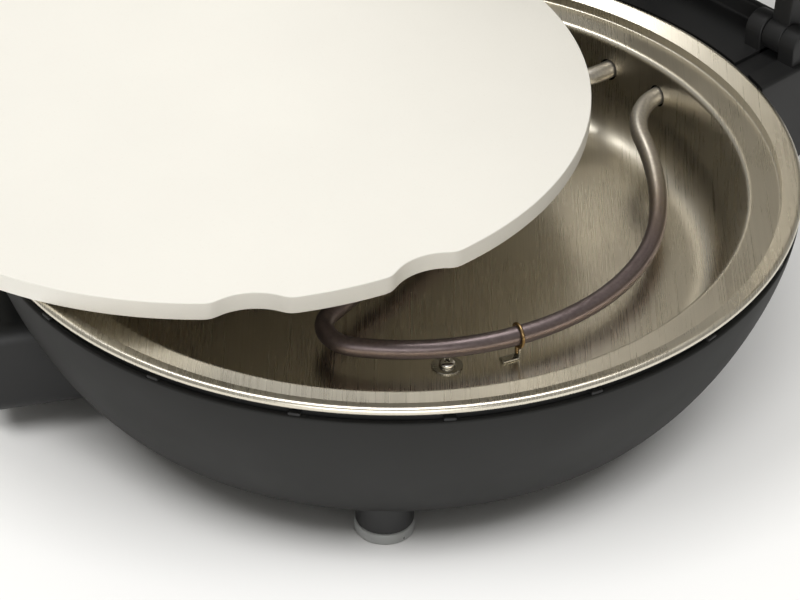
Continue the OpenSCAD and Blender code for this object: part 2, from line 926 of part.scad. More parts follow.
module housing_screws() {
    color(steel)
        for (x = [-1, 1], z = housing_screw_zs)
            translate([x * housing_screw_x, housing_screw_y(z), z])
                rotate([90, 0, 0])
                    screw_down(housing_screw_l);
}

module hinge_pins() {
    color(steel)
        for (s = [-1, 1])
            translate([s * arm_x, hinge_y, hinge_z])
                rod_x(-arm_w / 2 - side_gap - ear_w + 1, arm_w / 2 + side_gap + ear_w - 1.5, pin_r);
}

// Round stone with two pairs of grip notches
module pizza_stone() {
    edge = 0.8;
    color(cream)
        rotate([0, 0, stone_dir])
            translate([stone_away, 0, stone_z])
                rotate([0, 0, -stone_dir])
                    difference() {
                        rotate_extrude()
                            polygon([[0, 0], [stone_r - edge, 0], [stone_r, edge],
                                [stone_r, stone_t - edge], [stone_r - edge, stone_t], [0, stone_t]]);
                        for (d = [0, 180], s = [-0.5, 0.5])
                            at(notch_dir + d + s * notch_apart, stone_r + notch_r - notch_depth, -1)
                                cylinder(r = notch_r, h = stone_t + 2);
                    }
}

module lid_shell() {
    color(black)
        lid_pose()
            difference() {
                union() {
                    difference() {
                        dome_solid(lid_r, dome_h);
                        translate([0, 0, -eps])
                            dome_solid(lid_r - lid_wall, dome_h - lid_wall);
                    }
                    for (d = pan_screw_dirs)
                        intersection() {
                            at(d, pan_screw_away, reflector_top + sheet)
                                cylinder(r = 5, h = dome_h);
                            dome_solid(lid_r - 1, dome_h - 1);
                        }
                }
                for (d = pan_screw_dirs)
                    at(d, pan_screw_away, reflector_top - 1)
                        cylinder(r = screw_r, h = 16);
                screw_ways();
            }
}

// Ways for the screws that hold the arms and the handle
module screw_ways() {
    for (s = [-1, 1]) {
        for (z = arm_screw_zs)
            translate([s * arm_x, 0, z])
                rod_y(lid_r - 30, hinge_y, screw_r + screw_fit);
        translate([s * post_x, 0, handle_z])
            rod_y(grip_y - grip_d, -lid_r + 30, screw_r + screw_fit);
    }
}

function reflector_path() = concat(
    [[0, reflector_top]],
    [for (p = dome_side(reflector_r - ceiling_r, lid_z, reflector_h, reflector_curve))
        p + [ceiling_r, 0]],
    arc([rim_r, lid_bead_z], roll_r, 165, 395, 16));

module lid_reflector() {
    color(steel)
        lid_pose()
            difference() {
                rotate_extrude()
                    polygon(sheet_outline(reflector_path(), -sheet));
                lead_bores(upper_z, wall_r - 20);
                for (d = pan_screw_dirs)
                    at(d, pan_screw_away, reflector_top - 2)
                        cylinder(r = screw_r + screw_fit, h = 4);
            }
}

module upper_element() {
    color(oxide)
        lid_pose()
            tube_along(element_path(upper_z, 0, upper_lead_y), tube_r, 12);
}

module upper_ferrules() {
    color(cream)
        lid_pose()
            ferrules(upper_z, upper_lead_y);
}

module upper_brackets() {
    color(steel)
        lid_pose()
            brackets(reflector_top, false, element_drop - bracket_reach);
}

module upper_clips() {
    color(brass)
        lid_pose()
            clips(upper_z);
}

module reflector_washers() {
    color(steel)
        lid_pose()
            for (d = pan_screw_dirs)
                at(d, pan_screw_away, reflector_top - washer_t)
                    washer();
}

module reflector_screws() {
    color(steel)
        lid_pose()
            for (d = pan_screw_dirs)
                at(d, pan_screw_away, reflector_top - washer_t)
                    mirror([0, 0, 1])
                        screw_down(reflector_screw_l);
}

module lid_handle() {
    color(soft_black)
        lid_pose()
            difference() {
                union() {
                    translate([-grip_w / 2, grip_y - grip_d / 2, handle_z])
                        rotate([90, 0, 90])
                            linear_extrude(grip_w)
                                round_rect(grip_d, grip_h, 6);
                    for (s = [-1, 1])
                        translate([s * post_x - 7, grip_y - grip_d / 2, handle_z - 7])
                            cube([14, lid_r + finger_room - 120, 14]);
                }
                dome_solid(lid_r, dome_h);
                screw_ways();
                for (s = [-1, 1])
                    translate([s * post_x, 0, handle_z])
                        rod_y(grip_y - grip_d - 1, grip_y - grip_d / 2 + 4, head_r + 0.4);
            }
}

module handle_screws() {
    color(steel)
        lid_pose()
            for (s = [-1, 1])
                translate([s * post_x, grip_y - grip_d / 2 + 4, handle_z])
                    rotate([90, 0, 0])
                        screw_down(finger_room + 14);
}

module hinge_arm(s) {
    color(soft_black)
        lid_pose()
            difference() {
                union() {
                    translate([s * arm_x, hinge_y, hinge_z])
                        rod_x(-arm_w / 2, arm_w / 2, barrel_r);
                    translate([s * arm_x - arm_w / 2, 0, 0])
                        rotate([90, 0, 90])
                            linear_extrude(arm_w)
                                polygon([[hinge_y, hinge_z - 2], [lid_r - 30, hinge_z + 3],
                                    [lid_r - 30, hinge_z + 33], [hinge_y - 16, hinge_z + 29],
                                    [hinge_y + 3, hinge_z + 6]]);
                }
                dome_solid(lid_r, dome_h);
                screw_ways();
                translate([s * arm_x, hinge_y, hinge_z])
                    rod_x(-arm_w, arm_w, pin_r + pin_fit);
                for (i = [0, 1])
                    translate([s * arm_x, 0, arm_screw_zs[i]])
                        rod_y(arm_head_ys[i], hinge_y + 20, head_r + 0.3);
            }
}

module arm_screws() {
    color(steel)
        lid_pose()
            for (s = [-1, 1], i = [0, 1])
                translate([s * arm_x, arm_head_ys[i], arm_screw_zs[i]])
                    rotate([-90, 0, 0])
                        screw_down(arm_head_ys[i] - arm_tip_ys[i]);
}

base_shell();
base_plate();
base_plate_screws();
support_ring();
foot(foot_dirs[0]);  // foot_front_right
foot(foot_dirs[1]);  // foot_front_left
foot(foot_dirs[2]);  // foot_rear_left
foot(foot_dirs[3]);  // foot_rear_right
foot_pads();
foot_screws();
inner_pan();
pan_washers();
pan_screws();
pan_spacers();
pan_standoffs();
heat_shield();
lower_element();
lower_ferrules();
lower_brackets();
lower_clips();
terminal_block();
thermal_fuse();
wiring();
control_pod();
thermostat_body();
lamp_holder();
lamp_lens();
cord_gland();
gland_nut();
hinge_housing();
housing_screws();
hinge_pins();
pizza_stone();
thermostat_shaft();
thermostat_knob();
knob_marker();
lid_shell();
lid_reflector();
upper_element();
upper_ferrules();
upper_brackets();
upper_clips();
reflector_washers();
reflector_screws();
lid_handle();
handle_screws();
hinge_arm(-1);  // hinge_arm_left
hinge_arm(1);  // hinge_arm_right
arm_screws();
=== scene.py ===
from math import asin, atan2, cos, pi, radians, sin, sqrt

import bmesh
import bpy
from mathutils import Matrix, Vector


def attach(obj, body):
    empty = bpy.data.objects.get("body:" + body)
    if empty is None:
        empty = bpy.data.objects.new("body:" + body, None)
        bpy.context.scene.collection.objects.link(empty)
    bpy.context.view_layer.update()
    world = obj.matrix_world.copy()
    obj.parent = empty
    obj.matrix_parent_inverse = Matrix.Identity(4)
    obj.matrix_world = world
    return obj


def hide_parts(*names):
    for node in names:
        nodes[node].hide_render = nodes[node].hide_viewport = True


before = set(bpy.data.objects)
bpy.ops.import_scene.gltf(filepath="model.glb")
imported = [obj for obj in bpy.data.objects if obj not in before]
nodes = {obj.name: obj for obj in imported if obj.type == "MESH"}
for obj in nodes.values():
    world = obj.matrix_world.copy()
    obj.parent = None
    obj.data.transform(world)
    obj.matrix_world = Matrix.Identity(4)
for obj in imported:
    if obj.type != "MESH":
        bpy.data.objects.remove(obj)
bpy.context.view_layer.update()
scene = bpy.context.scene
mm = 0.001
pinAt = {"y": 192, "z": 99, "opened": -90}  # the hinge's axis, and the lid's turn from shut to open


# all helpers take mm and degrees

def lidOpened(bm):  # from its shut place to how it stands open
    pin = Vector((0, pinAt["y"], pinAt["z"])) * mm
    turned = Matrix.Rotation(radians(pinAt["opened"]), 4, "X")
    swing = Matrix.Translation(pin) @ turned @ Matrix.Translation(-pin)
    bmesh.ops.transform(bm, matrix=swing, verts=bm.verts)


def turnedBy(bm, angle, axis):  # about one of the main axes
    bmesh.ops.rotate(bm, cent=(0, 0, 0), matrix=Matrix.Rotation(radians(angle), 3, axis), verts=bm.verts)


def movedBy(bm, x, y, z):
    bmesh.ops.translate(bm, vec=Vector((x, y, z)) * mm, verts=bm.verts)


def outward(bm, dirDeg, away, z, lean=0):  # local z points out from the middle when lean is 90
    place = (Matrix.Rotation(radians(dirDeg), 4, "Z") @ Matrix.Translation(Vector((away, 0, z)) * mm)
             @ Matrix.Rotation(radians(lean), 4, "Y"))
    bmesh.ops.transform(bm, matrix=place, verts=bm.verts)


def arcPoints(cr, cz, r, a0, a1, count):  # along an arc, as (radius, height)
    return [(cr + r * cos(radians(a0 + (a1 - a0) * i / count)),
             cz + r * sin(radians(a0 + (a1 - a0) * i / count))) for i in range(count + 1)]


def spun(profile, steps=192, closed=False):  # a profile of (radius, height) in mm, turned about Z
    bm = bmesh.new()
    verts = [bm.verts.new((r * mm, 0, z * mm)) for r, z in profile]
    edges = [bm.edges.new(pair) for pair in zip(verts, verts[1:])]
    if closed:
        edges.append(bm.edges.new((verts[-1], verts[0])))
    bmesh.ops.spin(bm, geom=verts + edges, axis=(0, 0, 1), cent=(0, 0, 0), dvec=(0, 0, 0),
                   angle=2 * pi, steps=steps, use_merge=True)
    bmesh.ops.remove_doubles(bm, verts=bm.verts, dist=1e-6)
    bmesh.ops.recalc_face_normals(bm, faces=bm.faces)
    return bm


def block(x0, x1, y0, y1, z0, z1, soft=0.0, segments=3):  # a box with softened edges, in mm
    bm = bmesh.new()
    bmesh.ops.create_cube(bm, size=1)
    size = Vector((x1 - x0, y1 - y0, z1 - z0))
    middle = Vector((x0 + x1, y0 + y1, z0 + z1)) / 2
    bmesh.ops.scale(bm, vec=size * mm, verts=bm.verts)
    bmesh.ops.translate(bm, vec=middle * mm, verts=bm.verts)
    if soft:
        bmesh.ops.bevel(bm, geom=bm.edges[:], offset=soft * mm, segments=segments, profile=0.5,
                        affect="EDGES", material=-1)
    return bm


def rod(r, z0, z1, sides=48, soft=0.0):  # a round bar along Z, in mm
    bm = bmesh.new()
    bmesh.ops.create_cone(bm, cap_ends=True, segments=sides, radius1=r * mm, radius2=r * mm,
                          depth=(z1 - z0) * mm)
    bmesh.ops.translate(bm, vec=(0, 0, (z0 + z1) / 2 * mm), verts=bm.verts)
    if soft:
        rims = [e for e in bm.edges if abs(e.verts[0].co.z - e.verts[1].co.z) < 1e-7]
        bmesh.ops.bevel(bm, geom=rims, offset=soft * mm, segments=3, profile=0.5,
                        affect="EDGES", material=-1)
    return bm


def barY(r, x, z, y0, y1):  # a round bar along Y
    bm = rod(r, y0, y1)
    turnedBy(bm, -90, "X")
    movedBy(bm, x, 0, z)
    return bm


def barX(r, y, z, x0, x1, sides=64, soft=0.0):  # a round bar along X
    bm = rod(r, x0, x1, sides, soft)
    turnedBy(bm, 90, "Y")
    movedBy(bm, 0, y, z)
    return bm


def prism(outline, x0, x1, soft=0.0, segments=3):  # an outline of (y, z), drawn out along X
    bm = bmesh.new()
    face = bm.faces.new([bm.verts.new((x0 * mm, y * mm, z * mm)) for y, z in outline])
    drawn = bmesh.ops.extrude_face_region(bm, geom=[face])
    moved = [v for v in drawn["geom"] if isinstance(v, bmesh.types.BMVert)]
    bmesh.ops.translate(bm, vec=((x1 - x0) * mm, 0, 0), verts=moved)
    bmesh.ops.recalc_face_normals(bm, faces=bm.faces)
    if soft:
        sharp = [e for e in bm.edges if e.calc_face_angle(0) > radians(25)]
        bmesh.ops.bevel(bm, geom=sharp, offset=soft * mm, segments=segments, profile=0.5,
                        affect="EDGES", material=-1)
    return bm


def roundedOutline(w, h, r, cy, cz):  # a rectangle with round corners
    points = []
    for qy, qz, start in ((1, 1, 0), (-1, 1, 90), (-1, -1, 180), (1, -1, 270)):
        points += arcPoints(cy + qy * (w / 2 - r), cz + qz * (h / 2 - r), r, start, start + 90, 10)
    return points


def joined(parts):  # several shapes in one mesh
    bm = bmesh.new()
    for part in parts:
        mesh = bpy.data.meshes.new("part")
        part.to_mesh(mesh)
        part.free()
        bm.from_mesh(mesh)
        bpy.data.meshes.remove(mesh)
    return bm


def carved(bm, tools):  # cuts the tools out of a solid
    meshes = []
    for source in [bm] + tools:
        mesh = bpy.data.meshes.new("carve")
        source.to_mesh(mesh)
        source.free()
        meshes.append(mesh)
    solids = [bpy.data.objects.new("carve", mesh) for mesh in meshes]
    for solid in solids:
        scene.collection.objects.link(solid)
    for tool in solids[1:]:
        cut = solids[0].modifiers.new("cut", "BOOLEAN")
        cut.operation = "DIFFERENCE"
        cut.solver = "EXACT"
        cut.object = tool
    bpy.context.view_layer.update()
    done = bpy.data.meshes.new_from_object(solids[0].evaluated_get(bpy.context.evaluated_depsgraph_get()))
    result = bmesh.new()
    result.from_mesh(done)
    for solid in solids:
        bpy.data.objects.remove(solid)
    for mesh in meshes + [done]:
        bpy.data.meshes.remove(mesh)
    return result


def tubeMesh(path, radius, roundness):  # a tube with flat ends, along points
    curve = bpy.data.curves.new("path", "CURVE")
    curve.dimensions = "3D"
    line = curve.splines.new("POLY")
    line.points.add(len(path) - 1)
    for point, place in zip(line.points, path):
        point.co = (place[0] * mm, place[1] * mm, place[2] * mm, 1)
    curve.bevel_depth = radius * mm
    curve.bevel_resolution = roundness
    curve.use_fill_caps = True
    holder = bpy.data.objects.new("path", curve)
    scene.collection.objects.link(holder)
    bpy.context.view_layer.update()
    mesh = bpy.data.meshes.new_from_object(holder.evaluated_get(bpy.context.evaluated_depsgraph_get()))
    bm = bmesh.new()
    bm.from_mesh(mesh)
    bpy.data.objects.remove(holder)
    bpy.data.curves.remove(curve)
    bpy.data.meshes.remove(mesh)
    bmesh.ops.remove_doubles(bm, verts=bm.verts, dist=1e-6)
    bmesh.ops.recalc_face_normals(bm, faces=bm.faces)
    return bm


def addPiece(name, bm, finish, body, stands, sharp=35):  # stands: the CAD nodes it stands for
    mesh = bpy.data.meshes.new(name)
    bm.to_mesh(mesh)
    bm.free()
    mesh.shade_smooth()
    mesh.set_sharp_from_angle(angle=radians(sharp))
    mesh.materials.append(finish)
    piece = bpy.data.objects.new(name, mesh)
    scene.collection.objects.link(piece)
    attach(piece, body)
    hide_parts(*stands)


# finishes

def startFinish(name, color, metallic, roughness):
    finish = bpy.data.materials.new(name)
    finish.use_nodes = True
    tree = finish.node_tree
    shader = tree.nodes["Principled BSDF"]
    shader.inputs["Base Color"].default_value = (*color, 1)
    shader.inputs["Metallic"].default_value = metallic
    shader.inputs["Roughness"].default_value = roughness
    return finish, tree, shader


def pattern(tree, scale, detail=3, stretch=(1, 1, 1), turn=0, roughness=0.5):
    place = tree.nodes.new("ShaderNodeTexCoord")
    mapping = tree.nodes.new("ShaderNodeMapping")
    mapping.vector_type = "TEXTURE" if turn else "POINT"
    mapping.inputs["Rotation"].default_value = (0, 0, radians(turn))
    grain = tree.nodes.new("ShaderNodeTexNoise")
    grain.inputs["Scale"].default_value = scale
    grain.inputs["Detail"].default_value = detail
    grain.inputs["Roughness"].default_value = roughness
    squeeze = tree.nodes.new("ShaderNodeVectorMath")
    squeeze.operation = "MULTIPLY"
    squeeze.inputs[1].default_value = stretch
    tree.links.new(place.outputs["Object"], mapping.inputs["Vector"])
    tree.links.new(mapping.outputs["Vector"], squeeze.inputs[0])
    tree.links.new(squeeze.outputs["Vector"], grain.inputs["Vector"])
    return grain.outputs["Fac"]


def spread(tree, value, low, high, start=0.0, end=1.0):  # maps a pattern to a range
    node = tree.nodes.new("ShaderNodeMapRange")
    for key, number in (("From Min", start), ("From Max", end), ("To Min", low), ("To Max", high)):
        node.inputs[key].default_value = number
    tree.links.new(value, node.inputs["Value"])
    return node.outputs["Result"]


def tint(tree, value, stops):  # colours along a pattern
    ramp = tree.nodes.new("ShaderNodeValToRGB")
    while len(ramp.color_ramp.elements) < len(stops):
        ramp.color_ramp.elements.new(0.5)
    for element, (place, color) in zip(ramp.color_ramp.elements, stops):
        element.position = place
        element.color = (*color, 1)
    tree.links.new(value, ramp.inputs["Fac"])
    return ramp.outputs["Color"]


def blendColors(tree, amount, first, second):
    node = tree.nodes.new("ShaderNodeMix")
    node.data_type = "RGBA"
    for key, value in (("Factor", amount), ("A", first), ("B", second)):
        socket = node.inputs[key]
        if isinstance(value, bpy.types.NodeSocket):
            tree.links.new(value, socket)
        else:
            socket.default_value = value if isinstance(value, float) else (*value, 1)
    return node.outputs["Result"]


def relief(tree, shader, height, depth, strength=1.0):  # depth in mm
    bump = tree.nodes.new("ShaderNodeBump")
    bump.inputs["Distance"].default_value = depth * mm
    bump.inputs["Strength"].default_value = strength
    tree.links.new(height, bump.inputs["Height"])
    tree.links.new(bump.outputs["Normal"], shader.inputs["Normal"])


def brushedSheet(name, color, roughness, grainTurn=137, depth=0.0012, stretch=(1, 1, 1)):
    finish, tree, shader = startFinish(name, color, 1.0, roughness)
    strokes = pattern(tree, 1, 4, (9 * stretch[0], 1700 * stretch[1], 60 * stretch[2]), grainTurn, 0.6)
    clouds = pattern(tree, 28, 3)
    shine = spread(tree, strokes, roughness - 0.04, roughness + 0.04, 0.25, 0.75)
    uneven = spread(tree, clouds, -0.02, 0.03, 0.3, 0.7)
    total = tree.nodes.new("ShaderNodeMath")
    total.operation = "ADD"
    tree.links.new(shine, total.inputs[0])
    tree.links.new(uneven, total.inputs[1])
    tree.links.new(total.outputs["Value"], shader.inputs["Roughness"])
    darker = tuple(c * 0.92 for c in color)
    tree.links.new(tint(tree, strokes, [(0.3, darker), (0.65, color)]), shader.inputs["Base Color"])
    relief(tree, shader, strokes, depth)
    return finish


def grainedPlastic(name, color, roughness, grain=1400, depth=0.012, gloss=0.4):
    finish, tree, shader = startFinish(name, color, 0.0, roughness)
    shader.inputs["Specular IOR Level"].default_value = gloss
    grains = pattern(tree, grain, 2)
    rub = pattern(tree, 22, 3)
    worn = spread(tree, rub, roughness - 0.05, roughness + 0.07, 0.3, 0.7)
    tree.links.new(worn, shader.inputs["Roughness"])
    lighter = tuple(c * 1.12 for c in color)
    tree.links.new(tint(tree, rub, [(0.35, color), (0.7, lighter)]), shader.inputs["Base Color"])
    relief(tree, shader, grains, depth)
    return finish


def plated(name, color, roughness):
    finish, tree, shader = startFinish(name, color, 1.0, roughness)
    specks = pattern(tree, 420, 4)
    dulled = spread(tree, specks, roughness - 0.05, roughness + 0.12, 0.3, 0.75)
    tree.links.new(dulled, shader.inputs["Roughness"])
    darker = tuple(c * 0.8 for c in color)
    tone = tint(tree, pattern(tree, 160, 3), [(0.25, darker), (0.6, color)])
    tree.links.new(tone, shader.inputs["Base Color"])
    relief(tree, shader, specks, 0.006)
    return finish


def heatedTube(name, along, bare, burnt):  # bare steel at the leads, burnt brown further in
    finish, tree, shader = startFinish(name, (0.15, 0.115, 0.11), 0.85, 0.36)
    place = tree.nodes.new("ShaderNodeTexCoord")
    split = tree.nodes.new("ShaderNodeSeparateXYZ")
    tree.links.new(place.outputs["Object"], split.inputs["Vector"])
    heat = spread(tree, split.outputs[along], 0, 1, bare * mm, burnt * mm)
    wander = tree.nodes.new("ShaderNodeMath")
    wander.operation = "ADD"
    tree.links.new(heat, wander.inputs[0])
    tree.links.new(spread(tree, pattern(tree, 35, 3), -0.10, 0.10), wander.inputs[1])
    base = tint(tree, wander.outputs["Value"], [(0.0, (0.52, 0.49, 0.42)), (0.28, (0.40, 0.36, 0.29)),
                                               (0.5, (0.25, 0.20, 0.15)), (0.75, (0.19, 0.145, 0.13)),
                                               (1.0, (0.165, 0.13, 0.13))])
    mottles = pattern(tree, 700, 4)
    mottled = blendColors(tree, spread(tree, mottles, 0.0, 0.45, 0.35, 0.75), base, (0.26, 0.215, 0.21))
    tree.links.new(mottled, shader.inputs["Base Color"])
    tree.links.new(spread(tree, mottles, 0.28, 0.46, 0.3, 0.7), shader.inputs["Roughness"])
    relief(tree, shader, mottles, 0.02)
    return finish


def firedClay(name, color, edge):
    finish, tree, shader = startFinish(name, color, 0.0, 0.88)
    shader.inputs["Specular IOR Level"].default_value = 0.3
    sand = pattern(tree, 900, 4)
    clouds = pattern(tree, 14, 4)
    tone = tint(tree, clouds, [(0.3, tuple(c * 0.975 for c in color)), (0.7, color)])
    specks = blendColors(tree, spread(tree, sand, 0.0, 0.25, 0.62, 0.8), tone, edge)
    tree.links.new(specks, shader.inputs["Base Color"])
    tree.links.new(spread(tree, sand, 0.8, 0.95), shader.inputs["Roughness"])
    relief(tree, shader, sand, 0.05, 0.6)
    return finish


def wovenSleeve(name, color):
    finish, tree, shader = startFinish(name, color, 0.0, 0.8)
    weave = pattern(tree, 900, 2)
    darker = tuple(c * 0.7 for c in color)
    tree.links.new(tint(tree, weave, [(0.35, darker), (0.6, color)]), shader.inputs["Base Color"])
    relief(tree, shader, weave, 0.1)
    return finish


def clearRubber(name):
    finish, tree, shader = startFinish(name, (0.60, 0.61, 0.59), 0.0, 0.28)
    shader.inputs["Transmission Weight"].default_value = 0.6
    shader.inputs["IOR"].default_value = 1.41
    haze = pattern(tree, 60, 3)
    tree.links.new(spread(tree, haze, 0.22, 0.4), shader.inputs["Roughness"])
    milky = tint(tree, haze, [(0.3, (0.55, 0.56, 0.54)), (0.7, (0.66, 0.67, 0.65))])
    tree.links.new(milky, shader.inputs["Base Color"])
    return finish


def redLens(name):
    finish, tree, shader = startFinish(name, (0.75, 0.06, 0.03), 0.0, 0.12)
    shader.inputs["Transmission Weight"].default_value = 0.6
    ribs = pattern(tree, 500, 1)
    tree.links.new(spread(tree, ribs, 0.08, 0.2), shader.inputs["Roughness"])
    return finish


panSteel = brushedSheet("panSteel", (0.75, 0.70, 0.59), 0.28, depth=0.0008)
lidSteel = brushedSheet("lidSteel", (0.70, 0.66, 0.58), 0.32, grainTurn=0, stretch=(1, 1, 0.15))
zincSteel = plated("zincSteel", (0.55, 0.55, 0.53), 0.3)
stripSteel = plated("stripSteel", (0.50, 0.48, 0.43), 0.22)
screwSteel = plated("screwSteel", (0.74, 0.72, 0.68), 0.12)
pinSteel = plated("pinSteel", (0.66, 0.66, 0.65), 0.2)
foilAluminium = plated("foilAluminium", (0.72, 0.72, 0.72), 0.26)
lowerOxide = heatedTube("lowerOxide", "Y", 128, 70)
upperOxide = heatedTube("upperOxide", "Z", 163, 221)
clipWire = plated("clipWire", (0.42, 0.28, 0.13), 0.28)
shellPlastic = grainedPlastic("shellPlastic", (0.022, 0.022, 0.021), 0.6, gloss=0.15)
trimPlastic = grainedPlastic("trimPlastic", (0.012, 0.012, 0.012), 0.5)
knobPlastic = grainedPlastic("knobPlastic", (0.010, 0.010, 0.010), 0.3, 900, 0.006, 0.5)
footPlastic = grainedPlastic("footPlastic", (0.014, 0.014, 0.014), 0.42)
whitePaint = grainedPlastic("whitePaint", (0.80, 0.80, 0.77), 0.4)
whiteCeramic = firedClay("whiteCeramic", (0.78, 0.76, 0.71), (0.6, 0.58, 0.52))
stoneClay = firedClay("stoneClay", (0.86, 0.835, 0.765), (0.70, 0.66, 0.58))
padRubber = clearRubber("padRubber")
lensRed = redLens("lensRed")
glassSleeve = wovenSleeve("glassSleeve", (0.50, 0.48, 0.42))
print("finishes are ready")

nodeFinishes = {
    "base_shell": shellPlastic, "base_plate": zincSteel, "base_plate_screws": screwSteel,
    "support_ring": trimPlastic, "foot_front_right": footPlastic, "foot_front_left": footPlastic,
    "foot_rear_left": footPlastic, "foot_rear_right": footPlastic, "foot_pads": padRubber,
    "foot_screws": screwSteel, "inner_pan": panSteel, "pan_washers": stripSteel,
    "pan_screws": screwSteel, "pan_spacers": zincSteel, "pan_standoffs": zincSteel,
    "heat_shield": foilAluminium, "lower_element": lowerOxide, "lower_ferrules": whiteCeramic,
    "lower_brackets": stripSteel, "lower_clips": clipWire, "terminal_block": whiteCeramic,
    "thermal_fuse": zincSteel, "wiring": glassSleeve, "control_pod": trimPlastic,
    "thermostat_body": zincSteel, "lamp_holder": whiteCeramic, "lamp_lens": lensRed,
    "cord_gland": trimPlastic, "gland_nut": trimPlastic, "hinge_housing": trimPlastic,
    "housing_screws": screwSteel, "hinge_pins": pinSteel, "pizza_stone": stoneClay,
    "thermostat_shaft": pinSteel, "thermostat_knob": knobPlastic, "knob_marker": whitePaint,
    "lid_shell": shellPlastic, "lid_reflector": lidSteel, "upper_element": upperOxide,
    "upper_ferrules": whiteCeramic, "upper_brackets": stripSteel, "upper_clips": clipWire,
    "reflector_washers": stripSteel, "reflector_screws": screwSteel, "lid_handle": knobPlastic,
    "handle_screws": screwSteel, "hinge_arm_left": trimPlastic, "hinge_arm_right": trimPlastic,
    "arm_screws": screwSteel}
for nodeName, nodeFinish in nodeFinishes.items():
    nodeMesh = nodes[nodeName].data
    nodeMesh.materials.clear()
    nodeMesh.materials.append(nodeFinish)


# the pan: radii and heights of its one pressed sheet
pan = {"floor": 47, "wall": 146.6, "turn": 20, "lip": 151.5, "lipRound": 3, "seat": 86.3,
       "seatEdge": 163.2, "seatCorner": 0.8, "ringTop": 90.2, "roll": 170, "rollHeight": 91.4,
       "rollRadius": 1.6, "sheet": 0.7, "leadX": 15, "leadHeight": 72.5, "leadHole": 4.9}

panTop = ([(0, pan["floor"]), (30, pan["floor"]), (60, pan["floor"]), (90, pan["floor"])]
          + arcPoints(pan["wall"] - pan["turn"], pan["floor"] + pan["turn"], pan["turn"], -90, -4, 30)
          + arcPoints(pan["lip"], pan["seat"] - pan["lipRound"], pan["lipRound"], 170, 90, 12)
          + arcPoints(pan["seatEdge"] - 1.2, pan["seat"] + pan["seatCorner"], pan["seatCorner"], -90, 0, 5)
          + [(pan["seatEdge"], pan["ringTop"])]
          + arcPoints(pan["roll"], pan["rollHeight"], pan["rollRadius"], 118, -150, 30))


def thickened(top, t):  # the closed outline of a sheet under a line
    under = []
    for i, here in enumerate(top):
        before, after = top[max(i - 1, 0)], top[min(i + 1, len(top) - 1)]
        along = Vector((after[0] - before[0], after[1] - before[1])).normalized()
        under.append((max(here[0] + t * along.y, 0), here[1] - t * along.x))
    return list(top) + under[::-1]


def leadHoles(z, y0, y1):  # where the element's two leads pass the wall
    return [barY(pan["leadHole"], side * pan["leadX"], z, y0, y1) for side in (-1, 1)]


panMesh = carved(spun(thickened(panTop, pan["sheet"]), 256), leadHoles(pan["leadHeight"], 126, 160))
addPiece("pan", panMesh, panSteel, "base", ["inner_pan"], 40)
print("pan is pressed")


# the stone lies across the rim, as it was pushed aside
stone = {"radius": 162.7, "thick": 8, "away": 90.5, "dir": 195.5, "under": 93.3, "edge": 0.5,
         "notchRadius": 24, "notchDepth": 6, "notchDir": -21.5, "notchApart": 26, "points": 1080}


def stoneOutline():  # points all round, with soft shoulders beside the notches
    count = stone["points"]
    notches = [stone["notchDir"] + half + side * stone["notchApart"]
               for half in (0, 180) for side in (-0.5, 0.5)]
    far = stone["radius"] + stone["notchRadius"] - stone["notchDepth"]
    plain = []
    for i in range(count):
        reach = stone["radius"]
        for middle in notches:
            off = radians((360 * i / count - middle + 180) % 360 - 180)
            inside = stone["notchRadius"] ** 2 - (far * sin(off)) ** 2
            if abs(off) < 0.5 and inside > 0:
                reach = min(reach, far * cos(off) - sqrt(inside))
        plain.append(reach)
    soft = list(plain)
    for _ in range(2):
        soft = [sum(soft[(i + k) % count] for k in range(-2, 3)) / 5 for i in range(count)]
        soft = [min(a, b) for a, b in zip(soft, plain)]
    return [(a * cos(2 * pi * i / count), a * sin(2 * pi * i / count)) for i, a in enumerate(soft)]


stoneMesh = prism(stoneOutline(), 0, stone["thick"], stone["edge"], 5)
bmesh.ops.poke(stoneMesh, faces=[f for f in stoneMesh.faces if len(f.verts) > 4])
upright = Matrix(((0, 1, 0), (0, 0, 1), (1, 0, 0)))  # the slab's thickness, drawn along X, goes up
bmesh.ops.transform(stoneMesh, matrix=upright.to_4x4(), verts=stoneMesh.verts)
movedBy(stoneMesh, stone["away"] * cos(radians(stone["dir"])), stone["away"] * sin(radians(stone["dir"])),
        stone["under"])
addPiece("stone", stoneMesh, stoneClay, "stone", ["pizza_stone"], 50)
print("stone is cut")


# the bowl-shaped shell, and the black ring that carries the pan in it
shell = {"radius": 171, "top": 86, "base": 131, "bottom": 13, "curve": 1.36, "wall": 2.4,
         "opening": 112, "edge": 0.8, "steps": 48}


def shellSide(inset):  # from the rim down to the flat bottom
    bulge, tall = shell["radius"] - shell["base"], shell["top"] - shell["bottom"]
    side = []
    for i in range(shell["steps"] + 1):
        a = radians(90 * i / shell["steps"])
        side.append((shell["base"] - inset + bulge * max(cos(a), 0) ** (2 / shell["curve"]),
                     shell["top"] - tall * sin(a) ** (2 / shell["curve"])))
    return side


outside = shellSide(0)
inside = [p for p in shellSide(shell["wall"]) if p[1] > shell["bottom"] + shell["wall"]]
shellLine = ([(outside[0][0] - shell["edge"], shell["top"])]
             + arcPoints(outside[0][0] - shell["edge"], shell["top"] - shell["edge"], shell["edge"], 75, 0, 4)
             + outside[1:]
             + [(shell["opening"] + 0.5, shell["bottom"]), (shell["opening"], shell["bottom"] + 0.5),
                (shell["opening"], shell["bottom"] + shell["wall"]),
                (inside[-1][0] - 0.5, shell["bottom"] + shell["wall"])]
             + inside[::-1])
shellMesh = spun(shellLine, 256, closed=True)
addPiece("shell", shellMesh, shellPlastic, "base", ["base_shell"], 40)

